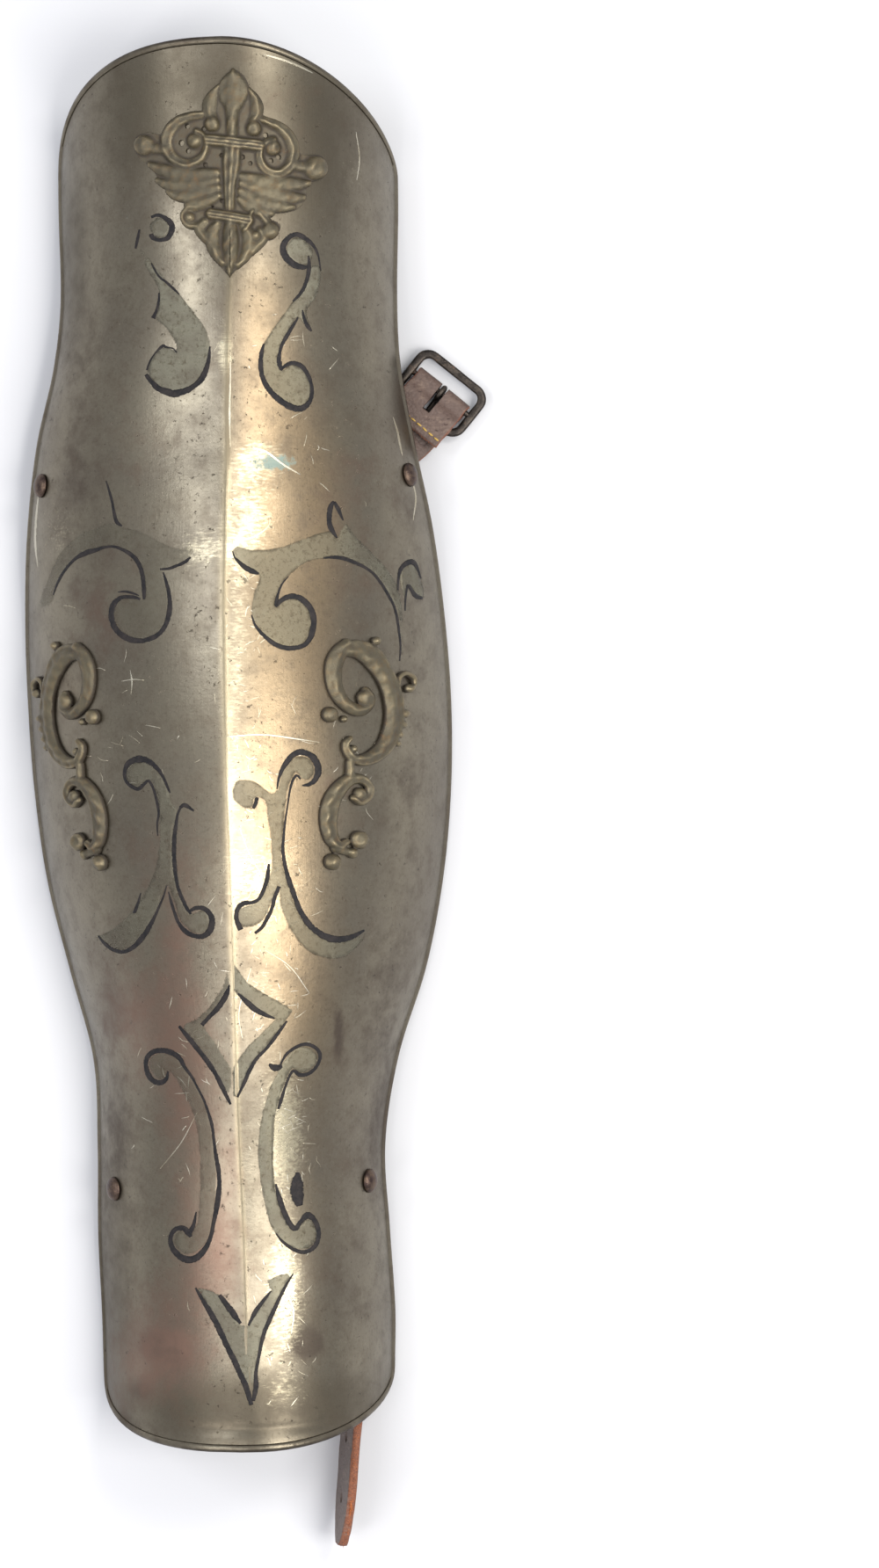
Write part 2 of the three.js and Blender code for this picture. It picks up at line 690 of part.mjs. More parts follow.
function roundedOutline(path, halfWidth, halfLength, radius) {
  path.moveTo(halfWidth - radius, -halfLength);
  path.absarc(halfWidth - radius, -halfLength + radius, radius, -Math.PI / 2, 0);
  path.absarc(halfWidth - radius, halfLength - radius, radius, 0, Math.PI / 2);
  path.absarc(-halfWidth + radius, halfLength - radius, radius, Math.PI / 2, Math.PI);
  path.absarc(-halfWidth + radius, -halfLength + radius, radius, Math.PI, 1.5 * Math.PI);
  return path;
}

function buckleSolid(frame) {
  const innerWidth = STRAP_WIDTH / 2 + BUCKLE_PLAY;
  const innerLength = BUCKLE_REACH - BUCKLE_BAR / 2;
  const bevel = 0.5;
  const corner = 5;
  const outline = roundedOutline(
    new THREE.Shape(),
    innerWidth + BUCKLE_BAR - bevel,
    innerLength + BUCKLE_BAR - bevel,
    corner - bevel,
  );
  outline.holes.push(
    roundedOutline(
      new THREE.Path(),
      innerWidth + bevel,
      innerLength + bevel,
      corner - BUCKLE_BAR + bevel,
    ),
  );
  const ring = new THREE.ExtrudeGeometry(outline, {
    depth: BUCKLE_THICKNESS - 2 * bevel,
    bevelSize: bevel,
    bevelThickness: bevel,
    bevelSegments: 1,
    curveSegments: 3,
  }).translate(0, 0, bevel - BUCKLE_THICKNESS / 2);
  const pinRadius = PIN_DIAMETER / 2;
  const pinLength = 2 * innerWidth + BUCKLE_BAR;
  const pin = new THREE.CylinderGeometry(pinRadius, pinRadius, pinLength, 8).rotateZ(Math.PI / 2);
  return solidOf(placedIn(frame, ring)).add(solidOf(placedIn(frame, pin)));
}

// The tongue's loop turns on the centre bar, and the tongue lies turned back under the near bar.
// Its line is given in radii of the loop, apart from back, which is a share of the buckle's reach.
const PRONG_LINE = [
  { ahead: 0.4, back: 0, down: 1, width: 1 },
  { ahead: 0, back: 0.45, down: 1.08, width: 1 },
  { ahead: 0, back: 1.2, down: 1.08, width: 0.7 },
];
function prongSolid(frame) {
  const wire = PRONG_WIRE / 2;
  const loop = PIN_DIAMETER / 2 + CLEARANCE + wire;
  const sides = 8;
  const torus = new THREE.TorusGeometry(loop, wire, sides, 12).rotateY(Math.PI / 2);
  const rings = PRONG_LINE.map(({ ahead, back, down, width }) => {
    const s = ahead * loop - back * BUCKLE_REACH;
    const ring = [];
    for (let k = 0; k < sides; k += 1) {
      const turn = (2 * Math.PI * k) / sides;
      const a = wire * width * Math.cos(turn);
      ring.push(inFrame(frame, a, s, wire * width * Math.sin(turn) - down * loop));
    }
    return ring;
  });
  return solidOf(placedIn(frame, torus)).add(skin(rings));
}

// A chape is one strip: from its rivet, over the buckle's near bar, under and round the centre
// bar, and back on itself as a flap. Its slot lets the tongue turn.
function chapeSolid(rivet, towards, between, frame) {
  const half = STRAP_WIDTH / 2;
  const layer = CHAPE_THICKNESS / 2;
  const round = PIN_DIAMETER / 2 + CLEARANCE + layer;
  const overBar = BUCKLE_THICKNESS / 2 + 2 * CLEARANCE + layer;
  const station = (s, n) => ({ at: inFrame(frame, 0, s, n), across: frame.across, half, bow: 0 });
  const nearBar = -BUCKLE_REACH;
  const knots = [
    ...rootKnots(rivet, towards, CHAPE_THICKNESS, { ahead: STRAP_TAIL / 4, rise: CHAPE_RISE }),
    ...between,
    { at: inFrame(frame, 0, nearBar - BUCKLE_BAR / 2, overBar), across: frame.across, bow: 0 },
    { at: inFrame(frame, 0, nearBar + 0.6 * BUCKLE_BAR, overBar), across: frame.across, bow: 0 },
  ];
  const stationSteps = 14;
  const stations = smoothStations(knots, stationSteps);
  stations.push(station(-2 * round, 0.35 * round), station(-1.3 * round, -0.5 * round));
  for (let turn = -120; turn <= 90; turn += 30) {
    stations.push(station(round * Math.cos(radians(turn)), round * Math.sin(radians(turn))));
  }
  const flap = overBar + CHAPE_THICKNESS + CLEARANCE;
  stations.push(
    station(-1.4 * round, 1.25 * round),
    station(nearBar + BUCKLE_BAR, flap),
    station(nearBar - BUCKLE_BAR / 2, flap),
    station(-FLAP_LENGTH, flap - TONGUE_GAP),
  );
  const slotWidth = PRONG_WIRE + 2 * CLEARANCE + SLOT_PLAY;
  const slotBack = nearBar + 2 * SLOT_PLAY;
  const slotFront = 2 * round;
  const slot = new THREE.BoxGeometry(slotWidth, slotFront - slotBack, 6 * round).translate(
    0,
    (slotFront + slotBack) / 2,
    0,
  );
  return bandSolid(stations, CHAPE_THICKNESS)
    .subtract(solidOf(placedIn(frame, slot)))
    .subtract(boreThrough(rivet, RIVET_SHANK + 2 * CLEARANCE, BORE_REACH.chape));
}

const rivets = Object.fromEntries(
  Object.entries(RIVETS).map(([name, row]) => [name, rivetFrame(row)]),
);
const vector = (x, y, z) => new THREE.Vector3(x, y, z);

// A knot of a chape just before its buckle's near bar. step is in strap widths.
const besideBuckle = (frame, { step: [a, s, n], across, bow }) => ({
  at: inFrame(frame, a * STRAP_WIDTH, s * STRAP_WIDTH - BUCKLE_REACH, n * STRAP_WIDTH),
  across: vector(...across),
  bow,
});

// The upper buckle lies flat on the ground beside the waist, and its chape comes out under the
// hem. The places are measured from the upper right rivet.
const tongueRoom = PRONG_WIRE + CLEARANCE + TONGUE_GAP;
const upperBuckle = buckleFrame(
  vector(
    rivets.upper_right.at.x + UPPER_BUCKLE_ASIDE,
    rivets.upper_right.at.y + UPPER_BUCKLE_ABOVE,
    FLOOR + FLOOR_GAP + tongueRoom + PIN_DIAMETER / 2,
  ),
  vector(0.77, -0.64, 0),
  vector(0.64, 0.77, 0),
);
// Where the chape dips under the hem, as shares of the strap's width, and how it turns there
const UPPER_DIP = { step: [-0.29, 0.375, -0.225], across: [0.5, -0.2, -0.84], bow: 1.2 };
const UPPER_RUN = { step: [-0.05, -0.375, 0.09], across: [0.77, -0.6, -0.2], bow: 0.2 };
const upperBetween = [
  {
    at: vector(...UPPER_DIP.step).multiplyScalar(STRAP_WIDTH).add(rivets.upper_right.at),
    across: vector(...UPPER_DIP.across),
    bow: UPPER_DIP.bow,
  },
  besideBuckle(upperBuckle, UPPER_RUN),
];

// The lower buckle stands on its edge inside the plate
const lowerBuckle = buckleFrame(
  vector(
    rivets.lower_left.at.x + LOWER_BUCKLE_INSIDE,
    rivets.lower_left.at.y - LOWER_CHAPE_LENGTH,
    FLOOR + FLOOR_GAP + STRAP_WIDTH / 2 + BUCKLE_PLAY + BUCKLE_BAR,
  ),
  vector(0, 0, -1),
  vector(0.12, -1, 0),
);
const LOWER_RUN = { step: [0, -0.45, 0.16], across: [0, 0, -1], bow: 0.3 };
const lowerBetween = [besideBuckle(lowerBuckle, LOWER_RUN)];

const material = (name, color, roughness, metalness) =>
  new THREE.MeshStandardMaterial({ name, color, roughness, metalness });
const plateMetal = material("plate_metal", 0x7d7566, 0.35, 0.9);
const castMetal = material("cast_metal", 0x6b6353, 0.5, 0.85);
const buckleMetal = material("buckle_metal", 0x3b3733, 0.5, 0.8);
const strapLeather = material("strap_leather", 0x6e4534, 0.75, 0);

const greave = new THREE.Group();
function addNode(name, solid, look) {
  const mesh = new THREE.Mesh(geometryOf(solid), look);
  mesh.name = name;
  greave.add(mesh);
}

let plate = plateSolid();
for (const rivet of Object.values(rivets)) {
  plate = plate.subtract(boreThrough(rivet, RIVET_SHANK + 2 * CLEARANCE, BORE_REACH.plate));
}
addNode("plate", plate, plateMetal);
addNode("crest", castSolid(crestPlacer(), CREST_RIBBONS, CREST_BOSSES, CREST_RISE, 1), castMetal);
for (const [name, place] of Object.entries(SCROLLS)) {
  const solid = castSolid(
    scrollPlacer(place),
    SCROLL_RIBBONS,
    SCROLL_BOSSES,
    SCROLL_RISE,
    SCROLL_HEIGHT / 100,
  );
  addNode(`scroll_${name}`, solid, castMetal);
}
addNode(
  "lower_billet",
  billetSolid(rivets.lower_right, LOWER_BILLET_LENGTH, [
    { share: 0.25, inward: 1 },
    { share: 0.5, inward: 2.5 },
    { share: 0.75, inward: 4.5 },
    { share: 1, inward: 7.5 },
  ]),
  strapLeather,
);
addNode(
  "upper_billet",
  billetSolid(rivets.upper_left, UPPER_BILLET_LENGTH, [
    { share: 0.25, inward: 2 },
    { share: 0.5, inward: 5 },
    { share: 0.75, inward: 10 },
    { share: 1, inward: 16 },
  ]),
  strapLeather,
);
addNode("upper_chape", chapeSolid(rivets.upper_right, 1, upperBetween, upperBuckle), strapLeather);
addNode("lower_chape", chapeSolid(rivets.lower_left, -1, lowerBetween, lowerBuckle), strapLeather);
addNode("upper_buckle", buckleSolid(upperBuckle), buckleMetal);
addNode("lower_buckle", buckleSolid(lowerBuckle), buckleMetal);
addNode("upper_prong", prongSolid(upperBuckle), buckleMetal);
addNode("lower_prong", prongSolid(lowerBuckle), buckleMetal);
for (const [name, rivet] of Object.entries(rivets)) {
  const holdsBillet = name === "upper_left" || name === "lower_right";
  const solid = holdsBillet
    ? rivetSolid(rivet, BILLET_THICKNESS, billetRise(rivet))
    : rivetSolid(rivet, CHAPE_THICKNESS, CHAPE_RISE);
  addNode(`rivet_${name}`, solid, castMetal);
}

// The origin is the bottom centre of the whole greave's box
const whole = new THREE.Box3().setFromObject(greave);
const centre = whole.getCenter(new THREE.Vector3());
for (const mesh of greave.children) {
  mesh.geometry.translate(-centre.x, -centre.y, -whole.min.z);
}

export default greave;
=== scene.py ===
# %% [markdown]
# # A costume greave in tarnished metal
# The shin plate, its castings and its straps were built as solids first. This script loads them
# as a fixed frame, puts a finely made piece over each one, and gives every surface its finish.
# Lengths below are millimetres until a mesh is made, because that is how the greave is measured.

# %% Load the frame
import math

import bpy
import numpy as np
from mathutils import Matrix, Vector
from mathutils.geometry import delaunay_2d_cdt


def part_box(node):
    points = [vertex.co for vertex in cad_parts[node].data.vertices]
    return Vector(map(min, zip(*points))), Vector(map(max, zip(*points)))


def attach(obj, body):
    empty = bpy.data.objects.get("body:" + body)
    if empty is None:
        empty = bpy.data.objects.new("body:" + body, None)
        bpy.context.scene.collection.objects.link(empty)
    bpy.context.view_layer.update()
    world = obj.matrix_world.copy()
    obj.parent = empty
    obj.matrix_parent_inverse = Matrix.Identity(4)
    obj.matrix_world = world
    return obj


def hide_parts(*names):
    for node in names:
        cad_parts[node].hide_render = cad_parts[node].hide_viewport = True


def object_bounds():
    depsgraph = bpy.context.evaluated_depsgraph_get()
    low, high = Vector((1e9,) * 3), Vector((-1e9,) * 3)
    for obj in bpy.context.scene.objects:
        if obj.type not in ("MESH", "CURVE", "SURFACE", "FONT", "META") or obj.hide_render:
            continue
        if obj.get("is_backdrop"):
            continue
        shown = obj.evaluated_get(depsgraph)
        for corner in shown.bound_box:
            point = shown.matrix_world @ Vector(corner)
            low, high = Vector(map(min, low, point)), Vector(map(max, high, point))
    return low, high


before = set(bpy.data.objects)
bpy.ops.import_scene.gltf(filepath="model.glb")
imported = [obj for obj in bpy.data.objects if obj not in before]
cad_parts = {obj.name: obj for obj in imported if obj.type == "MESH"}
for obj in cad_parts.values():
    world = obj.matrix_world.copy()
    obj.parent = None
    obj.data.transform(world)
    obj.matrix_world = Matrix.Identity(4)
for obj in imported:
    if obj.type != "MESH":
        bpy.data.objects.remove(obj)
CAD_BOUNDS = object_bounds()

MM = 0.001
scene = bpy.context.scene

# %% [markdown]
# ## The camera
# The photograph looks straight down from about a metre. A pinhole camera is three numbers: its
# height, its focal length in pixels, and where the picture's middle falls. The same numbers later
# turn a pixel of the photograph into a point of the plate, which is how the ornament is placed.

# %% Set up the camera
PHOTO_SIZE = (1000, 1784)
FOCAL_PIXELS = 3822
CAMERA_HEIGHT = 1050
CAMERA_PLACE = (55.8, 5.65)
CAMERA_TURN = math.radians(-1.05)
SENSOR = 36

camera_data = bpy.data.cameras.new("camera")
camera_data.sensor_width = SENSOR
camera_data.lens = FOCAL_PIXELS / PHOTO_SIZE[1] * SENSOR
camera_data.clip_start = 0.05
camera = bpy.data.objects.new("camera", camera_data)
camera.location = (CAMERA_PLACE[0] * MM, CAMERA_PLACE[1] * MM, CAMERA_HEIGHT * MM)
camera.rotation_euler = (0, 0, CAMERA_TURN)
scene.collection.objects.link(camera)
scene.camera = camera
print("lens:", round(camera_data.lens, 1), "mm")

# %% [markdown]
# ## The plate's form
# A greave is a long shell that follows the shin: a sharp ridge in front, a pinched ankle, a full
# calf and an arched knee end. Each row of the table is one section of it. Half widths and the
# ridge's place are shares of half the calf's width, heights are shares of its depth, and crease
# is the angle in degrees by which each flank falls away from the ridge.

# %% Sections of the plate
PLATE_LENGTH = 419
CALF_WIDTH = 131
CALF_DEPTH = 60.5
SHEET = 1.1
RIM_RADIUS = 1.24
WALL_ANGLE = math.radians(75)
KNEE_ARCH = 33
ANKLE_CORNER = 16
RIDGE_ROUND = 0.007

COLUMNS = ("share", "left", "right", "ridge", "crown", "hem", "crease")
SECTIONS = np.array([
    (0.0, 0.68, 0.68, 0.045, 0.79, 0.0, 0),
    (0.04, 0.684, 0.684, 0.04, 0.75, 0.0, 3),
    (0.08, 0.686, 0.69, 0.03, 0.738, 0.01, 7),
    (0.14, 0.694, 0.672, 0.025, 0.742, 0.045, 11),
    (0.205, 0.686, 0.658, 0.015, 0.78, 0.08, 14),
    (0.27, 0.7, 0.73, 0.01, 0.85, 0.055, 16),
    (0.335, 0.805, 0.868, 0.008, 0.908, 0.02, 17),
    (0.4, 0.905, 0.955, 0.006, 0.96, 0.005, 18),
    (0.465, 0.96, 1.0, 0.0, 0.992, 0.0, 18),
    (0.53, 0.985, 1.009, 0.0, 1.0, 0.004, 18),
    (0.595, 0.99, 0.985, 0.0, 0.98, 0.025, 18),
    (0.66, 0.965, 0.936, 0.012, 0.925, 0.1, 17),
    (0.725, 0.905, 0.855, 0.025, 0.865, 0.16, 15),
    (0.78, 0.82, 0.798, 0.028, 0.825, 0.165, 12),
    (0.83, 0.785, 0.788, 0.045, 0.808, 0.115, 7),
    (0.9, 0.795, 0.8, 0.052, 0.8, 0.03, 2),
    (0.96, 0.795, 0.8, 0.052, 0.812, 0.0, 0),
    (1.0, 0.795, 0.8, 0.052, 0.845, 0.0, 0),
])


def column(name, y):
    """A column of the table at y, on a smooth curve through its rows."""
    shares = SECTIONS[:, 0]
    values = SECTIONS[:, COLUMNS.index(name)]
    last = len(shares) - 1
    before = np.maximum(np.arange(last + 1) - 1, 0)
    after = np.minimum(np.arange(last + 1) + 1, last)
    slopes = (values[after] - values[before]) / (shares[after] - shares[before])
    share = np.clip(np.asarray(y, float) / PLATE_LENGTH, 0, 1)
    i = np.clip(np.searchsorted(shares, share) - 1, 0, last - 1)
    step = shares[i + 1] - shares[i]
    t = (share - shares[i]) / step
    return (
        (2 * t**3 - 3 * t**2 + 1) * values[i]
        + (t**3 - 2 * t**2 + t) * step * slopes[i]
        + (3 * t**2 - 2 * t**3) * values[i + 1]
        + (t**3 - t**2) * step * slopes[i + 1]
    )


def ridge_at(y):
    return column("ridge", y) * CALF_WIDTH / 2


def edge_at(side, y):
    side = np.asarray(side)
    return side * np.where(side < 0, column("left", y), column("right", y)) * CALF_WIDTH / 2


print("sections:", len(SECTIONS))

# %% [markdown]
# ## Dents
# Thin sheet is never quite even once it has been hammered and worn. Each row is a shallow dent:
# its place on the plate, its reach both ways and its depth. The last rows are the groove that
# the tool left above the ankle's flared lip.

# %% Height of the plate, with its wear
DENTS = np.array([
    (9, 281, 8, 11, 0.3), (-14, 272, 15, 9, 0.32), (12, 250, 8, 20, 0.2),
    (-22, 300, 20, 14, 0.3), (11, 130, 12, 18, 0.24), (-25, 150, 15, 25, 0.25),
    (13, 42, 9, 16, 0.3), (-20, 60, 16, 20, 0.25), (22, 330, 14, 16, 0.25),
    (-25, 350, 18, 14, 0.2), (35, 210, 12, 28, 0.25), (-40, 230, 14, 22, 0.25),
    (6, 196, 8, 8, 0.2), (16, 168, 9, 12, 0.2), (-10, 100, 12, 14, 0.22), (20, 88, 8, 12, 0.26),
    (14, 5.4, 26, 1.7, 0.5), (-20, 5.2, 18, 1.6, 0.22),
])
WAVES = np.array([(61, 84, 0.4, 0.1), (-43, 97, 1.9, 0.08), (34, 58, 4.1, 0.05)])


def height(x, y, worn=True):
    """Height of the outer face above the hem. Each flank is an arc of an ellipse."""
    x, y = np.broadcast_arrays(np.asarray(x, float), np.asarray(y, float))
    ridge = ridge_at(y)
    side = np.where(x < ridge, -1, 1)
    t = np.minimum(1.03, (x - ridge) / (edge_at(side, y) - ridge))
    if worn:
        t = (np.sqrt(t * t + RIDGE_ROUND**2) - RIDGE_ROUND) / (1 - RIDGE_ROUND)
    crease = np.radians(column("crease", y))
    turned = np.arcsin(np.sin(crease) + t * (math.sin(WALL_ANGLE) - np.sin(crease)))
    drop = (np.cos(crease) - np.cos(turned)) / (np.cos(crease) - math.cos(WALL_ANGLE))
    crown = column("crown", y) * CALF_DEPTH
    z = crown - (crown - column("hem", y) * CALF_DEPTH) * drop
    if not worn:
        return z
    fade = np.clip((1 - t) * 4, 0, 1)
    for at_x, at_y, reach_x, reach_y, depth in DENTS:
        z = z - fade * depth * np.exp(-((x - at_x) / reach_x) ** 2 - ((y - at_y) / reach_y) ** 2)
    for long_x, long_y, phase, size in WAVES:
        z = z + fade * size * (np.sin(2 * math.pi * (x / long_x + y / long_y) + phase) - 1)
    return z


def normal(x, y, worn=True, step=0.05):
    slope_x = (height(x + step, y, worn) - height(x - step, y, worn)) / (2 * step)
    slope_y = (height(x, y + step, worn) - height(x, y - step, worn)) / (2 * step)
    out = np.stack([-slope_x, -slope_y, np.ones_like(slope_x)], -1)
    return out / np.linalg.norm(out, axis=-1, keepdims=True)


def on_plate(x, y, lift=0.0, worn=True):
    """A point of the outer face, moved out along its normal by lift."""
    x, y = np.broadcast_arrays(np.asarray(x, float), np.asarray(y, float))
    lift = np.broadcast_to(np.asarray(lift, float), x.shape)
    face = np.stack([x, y, height(x, y, worn)], -1)
    return face + normal(x, y, worn) * lift[..., None]


def walk_from_ridge(distance, y, steps=40):
    """The x reached by walking over the face from the ridge, square to it."""
    side = np.sign(distance)
    x = np.array(ridge_at(y) + 0 * distance)
    for _ in range(steps):
        slope = (height(x + side * 0.2 + 0.1, y, False) - height(x + side * 0.2 - 0.1, y, False)) / 0.2
        x = x + distance / steps / np.hypot(1, slope)
    return x


def arc_from_ridge(x, y, steps=40):
    """The distance over the face from the ridge to x, the way back of walk_from_ridge."""
    ridge = ridge_at(y)
    total = np.zeros_like(x)
    for k in range(steps):
        middle = ridge + (x - ridge) * (k + 0.5) / steps
        slope = (height(middle + 0.1, y, False) - height(middle - 0.1, y, False)) / 0.2
        total = total + (x - ridge) / steps * np.hypot(1, slope)
    return total


print("height of the crown:", round(float(height(0, 222)), 2), "mm")

# %% [markdown]
# ## From numbers to meshes
# Two small helpers make every mesh in this file. One makes an object from points and faces and
# can hang numbers on the points, which the materials read. The other says what each piece is for
# the frame: the body that it moves with and the plain solids it replaces.

# %% Mesh helpers
def facing_out(points, faces):
    """The same faces, each turned over if together they enclose their space from inside."""
    points = np.asarray(points) - np.mean(points, axis=0)
    volume = 0.0
    for size in {len(face) for face in faces}:
        corners = np.array([face for face in faces if len(face) == size])
        for k in range(1, size - 1):
            cross = np.cross(points[corners[:, k]], points[corners[:, k + 1]])
            volume += float((points[corners[:, 0]] * cross).sum())
    return faces if volume > 0 else [face[::-1] for face in faces]


def mesh_object(name, points, faces, marks=None):
    """An object from points in metres. marks are named numbers, one for each point."""
    mesh = bpy.data.meshes.new(name)
    mesh.from_pydata(np.asarray(points).tolist(), [], faces)
    for label, values in (marks or {}).items():
        layer = mesh.attributes.new(label, "FLOAT", "POINT")
        layer.data.foreach_set("value", np.asarray(values, np.float32).ravel())
    mesh.shade_smooth()
    made = bpy.data.objects.new(name, mesh)
    scene.collection.objects.link(made)
    return made


def join_parts(parts):
    """Several (points, faces, marks) as one."""
    points, faces, marks, start = [], [], {}, 0
    for part_points, part_faces, part_marks in parts:
        points.append(part_points)
        faces += [[start + corner for corner in face] for face in part_faces]
        start += len(part_points)
        for label, values in part_marks.items():
            marks.setdefault(label, []).append(values)
    return np.concatenate(points), faces, {k: np.concatenate(v) for k, v in marks.items()}


def finish_piece(piece, material, body, slot, *nodes):
    piece.data.materials.clear()
    piece.data.materials.append(material)
    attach(piece, body)
    if nodes:
        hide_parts(*nodes)
    print(piece.name, "rides on", body, "with", len(piece.data.polygons), "faces")


def grid_faces(rows, columns, close_rows=False, close_columns=False):
    """Quads over a grid of points, numbered row by row."""
    r = np.arange(rows if close_rows else rows - 1)
    c = np.arange(columns if close_columns else columns - 1)
    r, c = (part.ravel() for part in np.meshgrid(r, c, indexing="ij"))
    r_next = (r + 1) % rows * columns
    c_next = (c + 1) % columns
    return np.stack([r * columns + c, r * columns + c_next, r_next + c_next, r_next + c], 1).tolist()


# %% [markdown]
# ## Shader arithmetic
# A finish is a formula over the surface. Field wraps one socket of a node so that + - * / make
# the Math nodes, and Paint is a material with one method that adds any other node. The formulas
# below then read like the sentences that describe the finish.

# %% Field and Paint
class Field:
    """A number or a colour that changes over the surface."""

    def __init__(self, paint, socket):
        self.paint = paint
        self.socket = socket

    def calculate(self, operation, first, second):
        return self.paint.node("ShaderNodeMath", {"operation": operation}, {0: first, 1: second})

    def __add__(self, other):
        return self.calculate("ADD", self, other)

    def __radd__(self, other):
        return self.calculate("ADD", other, self)

    def __sub__(self, other):
        return self.calculate("SUBTRACT", self, other)

    def __rsub__(self, other):
        return self.calculate("SUBTRACT", other, self)

    def __mul__(self, other):
        return self.calculate("MULTIPLY", self, other)

    def __rmul__(self, other):
        return self.calculate("MULTIPLY", other, self)

    def __truediv__(self, other):
        return self.calculate("DIVIDE", self, other)

    def step(self, low, high):
        """0 below low, 1 above high, and a smooth rise between. It falls where high is less."""
        limits = {"Value": self, "From Min": min(low, high), "From Max": max(low, high)}
        if low > high:
            limits.update({"To Min": 1.0, "To Max": 0.0})
        return self.paint.node("ShaderNodeMapRange", {"interpolation_type": "SMOOTHSTEP"}, limits)


def tone(red, green, blue):
    """A colour of the screen as the linear values that shaders use."""
    channels = [value / 255 for value in (red, green, blue)]
    linear = [v / 12.92 if v <= 0.04045 else ((v + 0.055) / 1.055) ** 2.4 for v in channels]
    return (*linear, 1.0)


class Nodes:
    """A node tree, built by adding nodes."""

    def node(self, kind, settings=None, inputs=None, output=0):
        made = self.tree.nodes.new(kind)
        for key, value in (settings or {}).items():
            setattr(made, key, value)
        for key, value in (inputs or {}).items():
            if isinstance(value, Field):
                self.tree.links.new(value.socket, made.inputs[key])
            else:
                made.inputs[key].default_value = value
        return None if output is None else Field(self, made.outputs[output])


class Paint(Nodes):
    """A material. Its patterns are sized in millimetres of the object."""

    def __init__(self, name):
        self.material = bpy.data.materials.new(name)
        self.material.use_nodes = True
        self.tree = self.material.node_tree
        self.tree.nodes.clear()
        self.place = self.node("ShaderNodeTexCoord", output="Object")

    def mark(self, name):
        return self.node("ShaderNodeAttribute", {"attribute_name": name}, output="Fac")

    def scaled(self, size, stretch, turn):
        scale = tuple(value / (size * MM) for value in stretch)
        values = {"Vector": self.place, "Rotation": (0, 0, turn), "Scale": scale}
        return self.node("ShaderNodeMapping", {}, values)

    def noise(self, size, detail=3.0, roughness=0.55, stretch=(1, 1, 1), turn=0.0):
        """Noise whose lumps are about size millimetres wide."""
        values = {"Scale": 1.0, "Detail": detail, "Roughness": roughness}
        values["Vector"] = self.scaled(size, stretch, turn)
        return self.node("ShaderNodeTexNoise", {}, values, output="Fac")

    def cells(self, size, stretch=(1, 1, 1)):
        values = {"Vector": self.scaled(size, stretch, 0), "Scale": 1.0}
        return self.node("ShaderNodeTexVoronoi", {}, values, output="Distance")

    def blend(self, factor, first, second):
        """first where the factor is 0, second where it is 1."""
        values = {0: factor, 6: first, 7: second}
        return self.node("ShaderNodeMix", {"data_type": "RGBA"}, values, output=2)

    def bump(self, amount, depth, strength=1.0):
        """Bump of a height field whose whole range is depth millimetres."""
        values = {"Height": amount, "Distance": depth * MM, "Strength": strength}
        return self.node("ShaderNodeBump", {}, values)

    def surface(self, **inputs):
        values = {key.replace("_", " "): value for key, value in inputs.items()}
        shader = self.node("ShaderNodeBsdfPrincipled", {}, values)
        self.node("ShaderNodeOutputMaterial", {}, {"Surface": shader}, output=None)
        return self.material


print("shader helpers ready")

# %% [markdown]
# ## The plate as a fine mesh
# The real plate is one sheet whose edge is rolled into a bead. The mesh is made of lines that run
# from the ridge over a flank, round the bead and back inside, one line beside the next all round
# the outline, so the bead has no seam. Its corners are parts of superellipses.

# %% Outline of the plate
SQUARENESS = {("knee", -1): 2.65, ("knee", 1): 1.85, ("ankle", -1): 3.4, ("ankle", 1): 2.6}
CORNER_STEPS = 22
SIDE_STEPS = 210
ARCH_STEPS = 60
SPINE_SHARE = 0.93


def outline_side(side):
    """Points of one half of the outline, from the ankle's middle to the knee's."""
    turn = np.linspace(math.pi / 2, 0, CORNER_STEPS, endpoint=False)
    power = 2 / SQUARENESS["ankle", side]
    low_y = ANKLE_CORNER * (1 - np.sin(turn) ** power)
    low_x = np.cos(turn) ** power * edge_at(side, low_y)
    side_y = np.linspace(ANKLE_CORNER, PLATE_LENGTH - KNEE_ARCH, SIDE_STEPS)
    turn = np.linspace(0, math.pi / 2, ARCH_STEPS + 1)[1:]
    power = 2 / SQUARENESS["knee", side]
    high_y = PLATE_LENGTH - KNEE_ARCH * (1 - np.sin(turn) ** power)
    high_x = np.abs(np.cos(turn)) ** power * edge_at(side, high_y)
    xs = np.concatenate([low_x, edge_at(side, side_y), high_x])
    ys = np.concatenate([low_y, side_y, high_y])
    xs[0] = xs[-1] = 0
    return np.stack([xs, ys], 1)


right_side, left_side = outline_side(1), outline_side(-1)
outline = np.concatenate([right_side, left_side[-2:0:-1]])
middle_y = (right_side[:, 1] + left_side[:, 1]) / 2
spine_y = PLATE_LENGTH / 2 + SPINE_SHARE * (middle_y - PLATE_LENGTH / 2)
spine_y = np.concatenate([spine_y, spine_y[-2:0:-1]])
print("outline points:", len(outline))

# %% Lines over the flanks, round the rim and back
RIM_STEPS = 12
near_ridge = np.array([0, 0.004, 0.009, 0.016, 0.026, 0.04])
flank_turns = np.concatenate([near_ridge, np.linspace(0.06, 1, 46, endpoint=False)])
flank_shares = np.sin(WALL_ANGLE * flank_turns) / math.sin(WALL_ANGLE)
inner_shares = flank_shares[::2][::-1]


def flank_points(shares, lift):
    spine_x = ridge_at(spine_y)
    x = spine_x[:, None] + (outline[:, :1] - spine_x[:, None]) * shares
    y = spine_y[:, None] + (outline[:, 1:] - spine_y[:, None]) * shares
    return on_plate(x, y, lift), x, y


